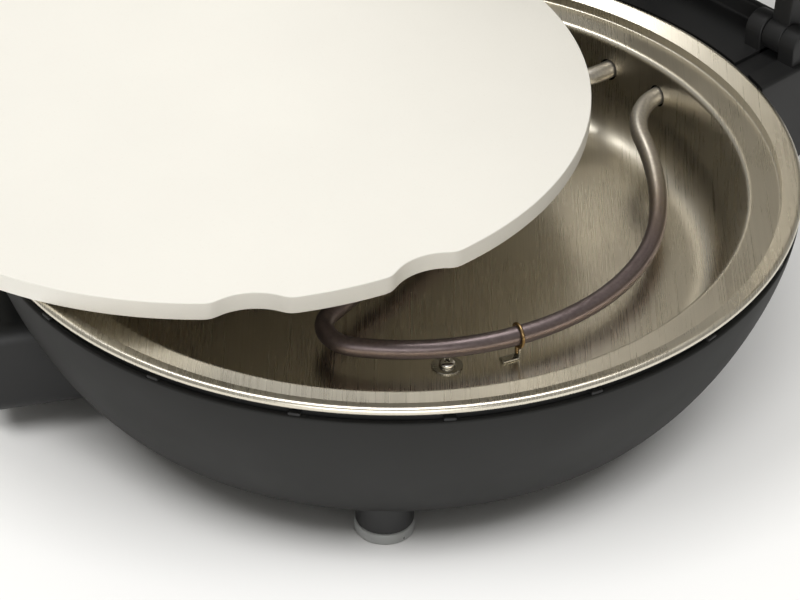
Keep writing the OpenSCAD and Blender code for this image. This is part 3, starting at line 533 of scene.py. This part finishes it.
ring = {"outer": 167.8, "inner": 164.5, "top": 90.3, "innerTop": 89.0, "low": 82, "tabs": 18,
        "firstTab": 5.2, "tabFrom": 166.8, "tabTo": 170.4, "tabHalf": 2.5, "tabLow": 86.05, "tabTop": 87.5}
ringParts = [spun([(ring["inner"], ring["low"]), (ring["outer"] - 0.3, ring["low"]),
                   (ring["outer"], ring["low"] + 0.3), (ring["outer"], ring["top"] - 0.8),
                   (ring["outer"] - 0.4, ring["top"] - 0.4), (ring["inner"], ring["innerTop"])],
                  192, closed=True)]
for i in range(ring["tabs"]):
    tab = block(ring["tabFrom"], ring["tabTo"], -ring["tabHalf"], ring["tabHalf"],
                ring["tabLow"], ring["tabTop"], 0.4)
    outward(tab, ring["firstTab"] + 360 / ring["tabs"] * i, 0, 0)
    ringParts.append(tab)
addPiece("supportRing", joined(ringParts), trimPlastic, "base", ["support_ring"])
print("shell is moulded")


# the lower element and what holds it; the lid has the same route upside down
element = {"arc": 110.4, "arcX": -15.8, "arcY": 21.2, "turn": 15, "turnDir": -52.2, "loop": 11, "loopY": 15,
           "leadX": 15, "drop": 90, "tube": 4, "lowerHeight": 58, "lowerRise": 14.5, "lowerEnd": 157.6,
           "upperHeight": 127.6, "upperEnd": 155.5, "clipDir": -17}


def flatArc(centre, r, a0, a1):  # a point every 2.5 degrees
    return arcPoints(centre[0], centre[1], r, a0, a1, max(2, int(abs(a1 - a0) / 2.5)))


def elementRoute(z, rise, end):  # out of one hole, round the pan, and back to the other hole
    e = element
    arcAt = Vector((e["arcX"], e["arcY"]))
    turnDir = radians(e["turnDir"])
    turnAt = arcAt + (e["arc"] - e["turn"]) * Vector((cos(turnDir), sin(turnDir)))
    loopAt = Vector((0, e["loopY"]))
    between = loopAt - turnAt
    runDir = (atan2(between.y, between.x) - asin((e["turn"] + e["loop"]) / between.length)) * 180 / pi
    beyond = e["leadX"] - e["arcX"]
    bend = ((pan["wall"] - e["arcY"]) ** 2 - e["arc"] ** 2 + beyond ** 2) / (2 * (e["arc"] - beyond))
    bendAt = Vector((e["leadX"] + bend, pan["wall"]))
    bendDir = atan2(bendAt.y - e["arcY"], bendAt.x - e["arcX"]) * 180 / pi
    flat = (flatArc(bendAt, bend, 180, 180 + bendDir)
            + flatArc(arcAt, e["arc"], bendDir - 2, e["turnDir"] + 2)
            + flatArc(turnAt, e["turn"], e["turnDir"], runDir - 270)
            + flatArc(loopAt, e["loop"], runDir - 90, 90))
    half, run = [(e["leadX"], end, z + rise)], 0.0
    for i, (x, y) in enumerate(flat):
        run += (Vector((x, y)) - Vector(flat[max(i - 1, 0)])).length
        half.append((x, y, z + rise * (1 + cos(pi * min(run / e["drop"], 1))) / 2))
    return half + [(-x, y, h) for x, y, h in half[-2::-1]]


def clipPlaces():  # x, y and direction of the three ties
    e = element
    x = e["arcX"] + e["arc"] * cos(radians(e["clipDir"]))
    y = e["arcY"] + e["arc"] * sin(radians(e["clipDir"]))
    return [(x, y, e["clipDir"]), (-x, y, 180 - e["clipDir"]), (0, e["loopY"] + e["loop"], 90)]


tie = {"wire": 0.72, "endWire": 0.68, "centre": 4.85, "overlap": 1.1, "twist": 0.75, "pitch": 0.42,
       "strapHalf": 2, "strapThick": 1, "strapFoot": 7.5, "lowerStrap": 5.3, "upperStrap": 15.3}


def tiedLoop(x, y, dirDeg, z, down):  # a wire round the tube, its two ends twisted together below it
    path = []
    for i in range(61):
        a = radians(-105 + 390 * i / 60)
        path.append((tie["centre"] * cos(a), tie["overlap"] * (i / 60 - 0.5), tie["centre"] * sin(a)))
    wires = [tubeMesh(path, tie["wire"], 3)]
    for phase in (0, pi):
        twist = [(tie["twist"] * cos(phase + 1.15 * k), tie["twist"] * sin(phase + 1.15 * k),
                  -tie["centre"] - 0.2 - tie["pitch"] * k) for k in range(9)]
        wires.append(tubeMesh(twist, tie["endWire"], 3))
    bm = joined(wires)
    if not down:
        turnedBy(bm, 180, "Y")
    turnedBy(bm, dirDeg, "Z")
    movedBy(bm, x, y, z)
    return bm


def strap(x, y, dirDeg, z0, length, up):  # a folded strap under the tube, with a foot
    w, half = tie["strapHalf"], tie["strapThick"] / 2
    bm = joined([block(-w, w, -half, half, 0, length, 0.2),
                 block(-w, w, -tie["strapFoot"], half, 0, tie["strapThick"], 0.3)])
    if not up:
        turnedBy(bm, 180, "X")
        bmesh.ops.scale(bm, vec=(1, -1, 1), verts=bm.verts)
    if x < 0:
        bmesh.ops.scale(bm, vec=(1, -1, 1), verts=bm.verts)
    bmesh.ops.recalc_face_normals(bm, faces=bm.faces)
    turnedBy(bm, dirDeg, "Z")
    movedBy(bm, x, y, z0)
    return bm


lowRoute = elementRoute(element["lowerHeight"], element["lowerRise"], element["lowerEnd"])
lowTube = tubeMesh(lowRoute, element["tube"], 8)
addPiece("lowerTube", lowTube, lowerOxide, "base", ["lower_element"], 60)
lowTies = joined([tiedLoop(x, y, d, element["lowerHeight"], True) for x, y, d in clipPlaces()])
addPiece("lowerTies", lowTies, clipWire, "base", ["lower_clips"], 60)
lowStraps = joined([strap(x, y, d, pan["floor"], tie["lowerStrap"], True) for x, y, d in clipPlaces()])
addPiece("lowerStraps", lowStraps, stripSteel, "base", ["lower_brackets"])
print("lower element is bent and tied")


# screws and washers in the pan

fastener = {"head": 3.4, "height": 2.3, "shank": 2, "slot": 0.85, "slotReach": 2.0, "slotFloor": 0.7,
            "washer": 6.5, "washerThick": 0.6, "washerEdge": 0.12, "away": 83.5, "dirs": (-26, 90, 206),
            "panLength": 11, "lidLength": 14, "handleLength": 52}


def crossScrew(length):  # pan head at z = 0, shank below, cross recess on top
    f = fastener
    head = spun([(0, -length), (f["shank"] - 0.4, -length), (f["shank"], -length + 0.6), (f["shank"], 0),
                 (f["head"] - 0.1, 0), (f["head"], 0.15), (f["head"], 0.75), (3.2, 1.25), (2.75, 1.75),
                 (2.1, 2.1), (1.2, 2.27), (0, f["height"])], 48)
    arms = []
    for turn in (25, 115):
        arm = block(-f["slotReach"], f["slotReach"], -f["slot"] / 2, f["slot"] / 2, f["slotFloor"], 3.5)
        low = [v for v in arm.verts if v.co.z < 1 * mm]
        bmesh.ops.scale(arm, vec=(0.35, 0.7, 1), verts=low)
        turnedBy(arm, turn, "Z")
        arms.append(arm)
    return carved(head, arms)


def flatWasher():
    hole, w, t = fastener["shank"] + 0.15, fastener["washer"], fastener["washerThick"]
    edge = fastener["washerEdge"]
    return spun([(hole, 0), (w - edge, 0), (w, edge), (w, t - edge), (w - edge, t), (hole, t)],
                72, closed=True)


def onPan(bm, dirDeg, z):
    outward(bm, dirDeg, fastener["away"], z)
    return bm


panWashers = joined([onPan(flatWasher(), d, pan["floor"]) for d in fastener["dirs"]])
addPiece("panWashers", panWashers, stripSteel, "base", ["pan_washers"])
onWasher = pan["floor"] + fastener["washerThick"]
panScrews = joined([onPan(crossScrew(fastener["panLength"]), d, onWasher) for d in fastener["dirs"]])
addPiece("panScrews", panScrews, screwSteel, "base", ["pan_screws"])
print("pan is screwed down")


# four feet and their soft pads
foot = {"radius": 11.8, "away": 125.2, "pad": 12.3, "padHeight": 5, "padEdge": 1.0, "top": 22,
        "places": ((-43, "front_right"), (-137, "front_left"), (137, "rear_left"), (43, "rear_right"))}

padParts = []
for footDir, corner in foot["places"]:
    leg, low = foot["radius"], foot["padHeight"]
    legMesh = spun([(0, low), (leg - 0.7, low), (leg - 0.2, low + 0.2), (leg, low + 0.7),
                    (leg, foot["top"]), (0, foot["top"])], 96)
    outward(legMesh, footDir, foot["away"], 0)
    addPiece("leg_" + corner, legMesh, footPlastic, "base", ["foot_" + corner])
    edge, inner = foot["padEdge"], foot["pad"] - foot["padEdge"]
    padMesh = spun([(0, 0), (inner, 0)] + arcPoints(inner, edge, edge, -90, 0, 5)
                   + arcPoints(inner, low - edge, edge, 0, 90, 5) + [(0, low)], 96)
    outward(padMesh, footDir, foot["away"], 0)
    padParts.append(padMesh)
addPiece("softPads", joined(padParts), padRubber, "base", ["foot_pads"])
print("feet are on")


# the lid is made shut and then opened
lid = {"low": 96.6, "radius": 172, "wall": 2.2, "height": 84, "curve": 2.3, "ceiling": 104,
       "reflector": 167.5, "reflectorRise": 52, "reflectorTop": 148.6, "reflectorCurve": 2.1,
       "beadHeight": 94.9, "boss": 5, "bossTop": 170.8}


def domeLine(r, h, curve, count=56):  # from the rim up to the middle
    line = []
    for i in range(count):
        a = pi / 2 * i / count
        line.append((r * max(cos(a), 0) ** (2 / curve), lid["low"] + h * sin(a) ** (2 / curve)))
    return line + [(0, lid["low"] + h)]


domeSkin = domeLine(lid["radius"], lid["height"], lid["curve"])
domeHollow = domeLine(lid["radius"] - lid["wall"], lid["height"] - lid["wall"], lid["curve"])
lidEdge = [(lid["radius"] - 0.6, lid["low"]), (lid["radius"] - 0.15, lid["low"] + 0.2)]
lidParts = [spun(lidEdge + domeSkin[2:] + domeHollow[::-1], 256, closed=True)]
for d in fastener["dirs"]:
    boss = rod(lid["boss"], lid["reflectorTop"] + 0.8, lid["bossTop"])
    outward(boss, d, fastener["away"], 0)
    lidParts.append(boss)
lidMesh = joined(lidParts)
lidOpened(lidMesh)
addPiece("lidShell", lidMesh, shellPlastic, "lid", ["lid_shell"], 40)

bowLine = domeLine(lid["reflector"] - lid["ceiling"], lid["reflectorRise"], lid["reflectorCurve"], 40)
bowed = [(lid["ceiling"] + x, z) for x, z in bowLine]
reflectorLine = ([(x, lid["reflectorTop"]) for x in (0, 40, 80)] + bowed[::-1]
                 + arcPoints(pan["roll"], lid["beadHeight"], pan["rollRadius"], 165, 395, 24))
reflectorMesh = carved(spun(thickened(reflectorLine, -pan["sheet"]), 256),
                       leadHoles(element["upperHeight"], 126, 162))
lidOpened(reflectorMesh)
addPiece("lidReflector", reflectorMesh, lidSteel, "lid", ["lid_reflector"], 40)

upTube = tubeMesh(elementRoute(element["upperHeight"], 0, element["upperEnd"]), element["tube"], 8)
lidOpened(upTube)
addPiece("upperTube", upTube, upperOxide, "lid", ["upper_element"], 60)
upTies = joined([tiedLoop(x, y, d, element["upperHeight"], False) for x, y, d in clipPlaces()])
lidOpened(upTies)
addPiece("upperTies", upTies, clipWire, "lid", ["upper_clips"], 60)
upStraps = joined([strap(x, y, d, lid["reflectorTop"], tie["upperStrap"], False) for x, y, d in clipPlaces()])
lidOpened(upStraps)
addPiece("upperStraps", upStraps, stripSteel, "lid", ["upper_brackets"])

screwParts, washerParts = [], []
underCeiling = lid["reflectorTop"] - fastener["washerThick"]
for d in fastener["dirs"]:
    screw = crossScrew(fastener["lidLength"])
    turnedBy(screw, 180, "X")
    screwParts.append(onPan(screw, d, underCeiling))
    washerParts.append(onPan(flatWasher(), d, underCeiling))
ceilingScrews, ceilingWashers = joined(screwParts), joined(washerParts)
lidOpened(ceilingScrews)
lidOpened(ceilingWashers)
addPiece("ceilingScrews", ceilingScrews, screwSteel, "lid", ["reflector_screws"])
addPiece("ceilingWashers", ceilingWashers, stripSteel, "lid", ["reflector_washers"])
print("lid is dressed")


# the handle, screwed on through its two posts

def domeSolid():  # the room that the lid takes, cut out of what touches it
    return spun([(0, lid["low"] - 0.01)] + [(lid["radius"], lid["low"] - 0.01)] + domeSkin, 192)


handle = {"y": -220, "z": 120.6, "width": 112, "depth": 20, "height": 16, "round": 6, "edge": 2.2,
          "post": 47, "postHalf": 7, "postFrom": -223, "postTo": -135, "screwAt": -216, "bore": 3.8}

grip = prism(roundedOutline(handle["depth"], handle["height"], handle["round"], handle["y"], handle["z"]),
             -handle["width"] / 2, handle["width"] / 2, handle["edge"], 4)
wells = [barY(handle["bore"], side * handle["post"], handle["z"], handle["y"] - handle["depth"],
              handle["screwAt"]) for side in (-1, 1)]
handleParts = [carved(grip, wells)]
screwParts = []
for side in (-1, 1):
    middle, half = side * handle["post"], handle["postHalf"]
    post = block(middle - half, middle + half, handle["postFrom"], handle["postTo"],
                 handle["z"] - half, handle["z"] + half, 1.6, 4)
    handleParts.append(carved(post, [domeSolid()]))
    screw = crossScrew(fastener["handleLength"])
    turnedBy(screw, 90, "X")
    movedBy(screw, middle, handle["screwAt"], handle["z"])
    screwParts.append(screw)
handleMesh, handleScrewMesh = joined(handleParts), joined(screwParts)
lidOpened(handleMesh)
lidOpened(handleScrewMesh)
addPiece("lidHandle", handleMesh, knobPlastic, "lid", ["lid_handle"])
addPiece("handleScrews", handleScrewMesh, screwSteel, "lid", ["handle_screws"])
print("handle is on")


# the hinge: two arms on the lid, and the housing on the shell with its ears and stop ridge
hinge = {"armX": 45, "armWidth": 10, "barrel": 7.5, "bore": 3.05, "gap": 0.3, "wellRadius": 3.7,
         "front": 112, "low": 44, "top": 92, "back": 205, "stop": 201, "stopTop": 101, "half": 62.3,
         "panRoom": 173.2, "pin": 3, "ear": 9, "earFrom": (30.7, 50.3), "earRadius": 8, "earLow": 87}
armLine = [(192, 97), (148, 101.4), (148, 131.3), (173.5, 128.3), (176.5, 126.8), (194.2, 106.6),
           (194.4, 103)]
slotLine = [(165, 90.4), (201, 90.4), (201, 97.9), (209, 104.5), (209, 135), (165, 135)]


def pinBore(r, x0, x1):
    return barX(r, pinAt["y"], pinAt["z"], x0, x1)


for side, armName, armNode in ((-1, "armLeft", "hinge_arm_left"), (1, "armRight", "hinge_arm_right")):
    x0 = side * hinge["armX"] - hinge["armWidth"] / 2
    x1 = x0 + hinge["armWidth"]
    wells = [barY(hinge["wellRadius"], side * hinge["armX"], z, y, pinAt["y"] + 12)
             for z, y in ((112, 183), (122, 175))]
    plate = carved(prism(armLine, x0, x1, 0.7), [domeSolid(), pinBore(hinge["bore"], x0 - 1, x1 + 1)] + wells)
    barrel = carved(barX(hinge["barrel"], pinAt["y"], pinAt["z"], x0, x1, 72, 0.6),
                    [pinBore(hinge["bore"], x0 - 1, x1 + 1)])
    armMesh = joined([plate, barrel])
    lidOpened(armMesh)
    addPiece(armName, armMesh, trimPlastic, "lid", [armNode])

bowl = [(0, shell["top"])] + shellSide(0) + [(0, shell["bottom"])]
body = prism([(hinge["front"], hinge["low"]), (190.5, hinge["low"]), (193.4, hinge["low"] + 1),
              (hinge["back"], 76), (hinge["back"], hinge["stopTop"]), (hinge["stop"], hinge["stopTop"]),
              (hinge["stop"], hinge["top"]), (hinge["front"], hinge["top"])],
             -hinge["half"], hinge["half"], 1.4, 4)
ways = [spun(bowl, 192), rod(hinge["panRoom"], 85.99, 130, 256), rod(121, 40, 110, 128)]
for side in (-1, 1):
    x0 = side * hinge["armX"] - hinge["armWidth"] / 2 - hinge["gap"]
    ways.append(prism(slotLine, x0, x0 + hinge["armWidth"] + 2 * hinge["gap"]))
bodyParts = [carved(body, ways)]
earLine = arcPoints(pinAt["y"], pinAt["z"], hinge["earRadius"], 0, 180, 24)
earLine += [(earLine[-1][0], hinge["earLow"]), (earLine[0][0], hinge["earLow"])]
for side in (-1, 1):
    for earFrom in hinge["earFrom"]:
        x0 = side * (earFrom + hinge["ear"] / 2) - hinge["ear"] / 2
        blind = side > 0 and earFrom == hinge["earFrom"][0]
        bored = pinBore(hinge["pin"], x0 + (1 if blind else -2), x0 + hinge["ear"] + 2)
        bodyParts.append(carved(prism(earLine, x0, x0 + hinge["ear"], 0.7), [bored]))
addPiece("hingeHousing", joined(bodyParts), trimPlastic, "base", ["hinge_housing"])
print("hinge is made")


# the control pod with its knob and pilot lamp
pod = {"dir": -118, "in": 134, "face": 175, "width": 60, "height": 42, "round": 8, "faceEdge": 2.5, "z": 34,
       "knobY": -10, "shaftWay": 4.5, "lampY": 19, "lampWay": 4.6, "lampBack": 163.1}


def facing(bm, x, y):  # from z up to the pod's own direction, at the knob's or the lamp's height
    turnedBy(bm, 90, "Y")
    movedBy(bm, x, y, pod["z"])
    turnedBy(bm, pod["dir"], "Z")
    return bm


podOutline = roundedOutline(pod["width"], pod["height"], pod["round"], 0, pod["z"])
podBody = prism(podOutline, pod["in"], pod["face"])
faceRim = [e for e in podBody.edges if all(v.co.x > (pod["face"] - 0.1) * mm for v in e.verts)]
bmesh.ops.bevel(podBody, geom=faceRim, offset=pod["faceEdge"] * mm, segments=6, profile=0.5,
                affect="EDGES", material=-1)
podMesh = carved(podBody, [spun(bowl, 192), rod(130.9, 0, 13.02, 192),
                           barX(pod["shaftWay"], pod["knobY"], pod["z"], 120, 180),
                           barX(pod["lampWay"], pod["lampY"], pod["z"], 120, 180)])
turnedBy(podMesh, pod["dir"], "Z")
addPiece("controlPod", podMesh, trimPlastic, "base", ["control_pod"])

knob = {"flutes": 16, "fluteDepth": 1.05, "steps": 288, "offFace": 0.5, "bore": 3, "boreDeep": 12.5,
        "markFrom": -11.5, "markTo": -2.5, "markHalf": 0.7, "markLow": 15.2, "markTop": 16.15}
# radius, height, and how much of the flutes' depth is cut there
knobRows = [(0, 0, 0), (15.3, 0, 0), (16, 0.7, 0), (16, 2.9, 0), (15.7, 3.5, 0), (15, 3.9, 0),
            (13.9, 4, 0.2), (13.2, 4.3, 0.6), (13, 5.2, 1), (12.6, 9, 1), (12.2, 13, 1), (12.0, 14.8, 0.9),
            (11.7, 15.5, 0.6), (11.1, 15.9, 0.3), (10.4, 16, 0), (0, 16, 0)]
knobBody = spun([(r, z) for r, z, _ in knobRows], knob["steps"])
shareAt = {round(z, 1): share for _, z, share in knobRows}
for vert in knobBody.verts:
    share = shareAt[round(vert.co.z / mm, 1)]
    away = sqrt(vert.co.x ** 2 + vert.co.y ** 2)
    if share and away:
        wave = max(0.0, cos(knob["flutes"] * atan2(vert.co.y, vert.co.x))) ** 2
        inward = 1 - knob["fluteDepth"] * mm * share * wave / away
        vert.co = (vert.co.x * inward, vert.co.y * inward, vert.co.z)
markWay = block(knob["markFrom"], knob["markTo"], -knob["markHalf"], knob["markHalf"], knob["markLow"], 18)
knobMesh = carved(knobBody, [markWay, rod(knob["bore"], -1, knob["boreDeep"])])
knobX = pod["face"] + knob["offFace"]
addPiece("knob", facing(knobMesh, knobX, pod["knobY"]), knobPlastic, "knob",
         ["thermostat_knob"])
markMesh = block(knob["markFrom"], knob["markTo"], -knob["markHalf"], knob["markHalf"],
                 knob["markLow"], knob["markTop"], 0.15)
addPiece("knobMark", facing(markMesh, knobX, pod["knobY"]), whitePaint, "knob",
         ["knob_marker"])
lensMesh = spun([(0, pod["lampBack"]), (4.2, pod["lampBack"]), (4.5, pod["lampBack"] + 0.3),
                 (4.5, pod["face"]), (5.4, pod["face"]), (5.5, 175.1), (5.5, 175.7), (5.3, 176)]
                + arcPoints(0, 173, 6, 30, 90, 12), 96)
addPiece("lampLens", facing(lensMesh, 0, pod["lampY"]), lensRed, "base", ["lamp_lens"])
print("controls are on")


# the empty cord gland, and its nut inside the shell
gland = {"dir": 128, "z": 34, "seat": 160, "thread": 7, "bore": 3.6, "coreBore": 6, "hex": 11,
         "hexTop": 5, "hexEdge": 0.4, "turns": 14, "pitch": 2, "nut": 10, "nutAt": -25.5, "nutThick": 5}


def hexBlock(r, z0, z1):
    bm = rod(r, z0, z1, 6)
    bmesh.ops.bevel(bm, geom=bm.edges[:], offset=gland["hexEdge"] * mm, segments=3, profile=0.5,
                    affect="EDGES", material=-1)
    return bm


def onGland(bm):
    outward(bm, gland["dir"], gland["seat"], gland["z"], 90)
    return bm


threads = [(gland["bore"], -28)]
for i in range(gland["turns"]):
    z = -28 + i * gland["pitch"]
    threads += [(6.55, z + 0.1), (6.95, z + 0.6), (6.95, z + 1.1), (6.55, z + 1.6)]
threads += [(6.9, 0.2), (6.9, 5.1), (gland["bore"], 5.1)]
cone = [(gland["bore"], 4.9), (8.5, 4.9), (8.5, 5.6), (8.1, 6.2), (8.1, 6.9), (7.7, 7.5), (7.3, 8.6),
        (6.9, 9.9), (6.4, 11.3), (5.9, 12.6), (5.3, 13), (gland["bore"] + 0.3, 13), (gland["bore"], 12.7)]
glandHex = carved(hexBlock(gland["hex"], 0.05, gland["hexTop"]),
                  [rod(gland["coreBore"], -1, gland["hexTop"] + 1)])
glandParts = [spun(threads, 64, closed=True), spun(cone, 64, closed=True), glandHex]
addPiece("cordGland", onGland(joined(glandParts)), trimPlastic, "base", ["cord_gland"])
nutTop = gland["nutAt"] + gland["nutThick"]
nutMesh = carved(hexBlock(gland["nut"], gland["nutAt"], nutTop),
                 [rod(gland["thread"], gland["nutAt"] - 1, nutTop + 1, 64)])
addPiece("glandNut", onGland(nutMesh), trimPlastic, "base", ["gland_nut"])
print("gland is fitted")


# the camera stands where the photo was taken from
view = {"focal": 153.405, "away": 1.19368, "above": 0.76814, "rim": 0.093, "pitch": 35.0673,
        "yaw": 0.2549, "roll": -0.9268, "turn": 47}

pitch, yaw, roll = radians(view["pitch"]), radians(view["yaw"]), radians(view["roll"])
ahead = Vector((sin(yaw) * cos(pitch), cos(yaw) * cos(pitch), -sin(pitch)))
right = Vector((cos(yaw), -sin(yaw), 0))
down = ahead.cross(right)
rightRolled = cos(roll) * right + sin(roll) * down
downRolled = -sin(roll) * right + cos(roll) * down
looks = Matrix((rightRolled, -downRolled, -ahead)).transposed().to_4x4()
stand = Matrix.Translation((0, -view["away"], view["above"] + view["rim"]))
cameraData = bpy.data.cameras.new("photoView")
cameraData.lens = view["focal"]
cameraData.sensor_width = 36
cameraObject = bpy.data.objects.new("photoView", cameraData)
cameraObject.matrix_world = Matrix.Rotation(radians(view["turn"]), 4, "Z") @ stand @ looks
scene.collection.objects.link(cameraObject)
scene.camera = cameraObject

# a white floor that turns plain white for the camera further away
floorBm = bmesh.new()
bmesh.ops.create_grid(floorBm, x_segments=1, y_segments=1, size=6)
floorMesh = bpy.data.meshes.new("studioFloor")
floorBm.to_mesh(floorMesh)
floorBm.free()
paper, paperTree, paperShader = startFinish("paper", (0.88, 0.875, 0.86), 0.0, 0.6)
paperShader.inputs["Specular IOR Level"].default_value = 0.25
floorMesh.materials.append(paper)
paperAt = paperTree.nodes.new("ShaderNodeTexCoord")
paperAway = paperTree.nodes.new("ShaderNodeVectorMath")
paperAway.operation = "LENGTH"
paperTree.links.new(paperAt.outputs["Object"], paperAway.inputs[0])
paperFade = paperTree.nodes.new("ShaderNodeMath")
paperFade.operation = "MULTIPLY"
paperSeen = paperTree.nodes.new("ShaderNodeLightPath")
paperTree.links.new(spread(paperTree, paperAway.outputs["Value"], 0, 1, 0.32, 1.0), paperFade.inputs[0])
paperTree.links.new(paperSeen.outputs["Is Camera Ray"], paperFade.inputs[1])
paperGlow = paperTree.nodes.new("ShaderNodeEmission")
paperGlow.inputs["Color"].default_value = (0.93, 0.93, 0.92, 1)
paperMix = paperTree.nodes.new("ShaderNodeMixShader")
paperTree.links.new(paperFade.outputs["Value"], paperMix.inputs["Fac"])
paperTree.links.new(paperShader.outputs["BSDF"], paperMix.inputs[1])
paperTree.links.new(paperGlow.outputs["Emission"], paperMix.inputs[2])
paperTree.links.new(paperMix.outputs["Shader"], paperTree.nodes["Material Output"].inputs["Surface"])
studioFloor = bpy.data.objects.new("studioFloor", floorMesh)
scene.collection.objects.link(studioFloor)

# the object and the floor have lamps of their own, so that the floor's shadow stays tight
onlyFloor = bpy.data.collections.new("onlyFloor")
onlyFloor.objects.link(studioFloor)
notFloor = bpy.data.collections.new("notFloor")
notFloor.objects.link(studioFloor)
notFloor.collection_objects[0].light_linking.link_state = "EXCLUDE"
lamps = [{"name": "overhead", "at": (-0.3, 0.26, 1.65), "size": 1.1, "power": 19, "lights": notFloor},
         {"name": "window", "at": (1.3, -1.3, 0.75), "size": 1.2, "power": 15, "lights": notFloor},
         {"name": "floorFront", "at": (0.76, -0.7, 1.94), "size": 0.7, "power": 14, "lights": onlyFloor},
         {"name": "floorRight", "at": (1.1, 0.2, 1.9), "size": 0.9, "power": 16, "lights": onlyFloor},
         {"name": "floorLeft", "at": (-0.1, -1.1, 1.9), "size": 0.9, "power": 16, "lights": onlyFloor}]
for lamp in lamps:
    light = bpy.data.lights.new(lamp["name"], "AREA")
    light.shape = "SQUARE"
    light.size = lamp["size"]
    light.energy = lamp["power"]
    holder = bpy.data.objects.new(lamp["name"], light)
    holder.location = lamp["at"]
    towards = Vector((0, 0, 0.04)) - holder.location
    holder.rotation_euler = towards.to_track_quat("-Z", "Y").to_euler()
    holder.light_linking.receiver_collection = lamp["lights"]
    scene.collection.objects.link(holder)

# the room is grey for the object, a little lighter above, and near white behind it
room = bpy.data.worlds.new("room")
room.use_nodes = True
scene.world = room
roomTree = room.node_tree
sky = roomTree.nodes["Background"]
around = roomTree.nodes.new("ShaderNodeTexCoord")
height = roomTree.nodes.new("ShaderNodeSeparateXYZ")
roomTree.links.new(around.outputs["Generated"], height.inputs["Vector"])
greys = [(0.0, (0.30, 0.295, 0.285)), (0.3, (0.28, 0.275, 0.265)), (0.62, (0.33, 0.325, 0.31)),
         (0.85, (0.42, 0.415, 0.40)), (1.0, (0.5, 0.49, 0.475))]
shade = tint(roomTree, spread(roomTree, height.outputs["Z"], 0, 1, -0.1, 1.0), greys)
seen = roomTree.nodes.new("ShaderNodeLightPath")
backdrop = blendColors(roomTree, seen.outputs["Is Camera Ray"], shade, (0.93, 0.93, 0.92))
roomTree.links.new(backdrop, sky.inputs["Color"])
scene.view_settings.view_transform = "Standard"
print("camera and lights are set")
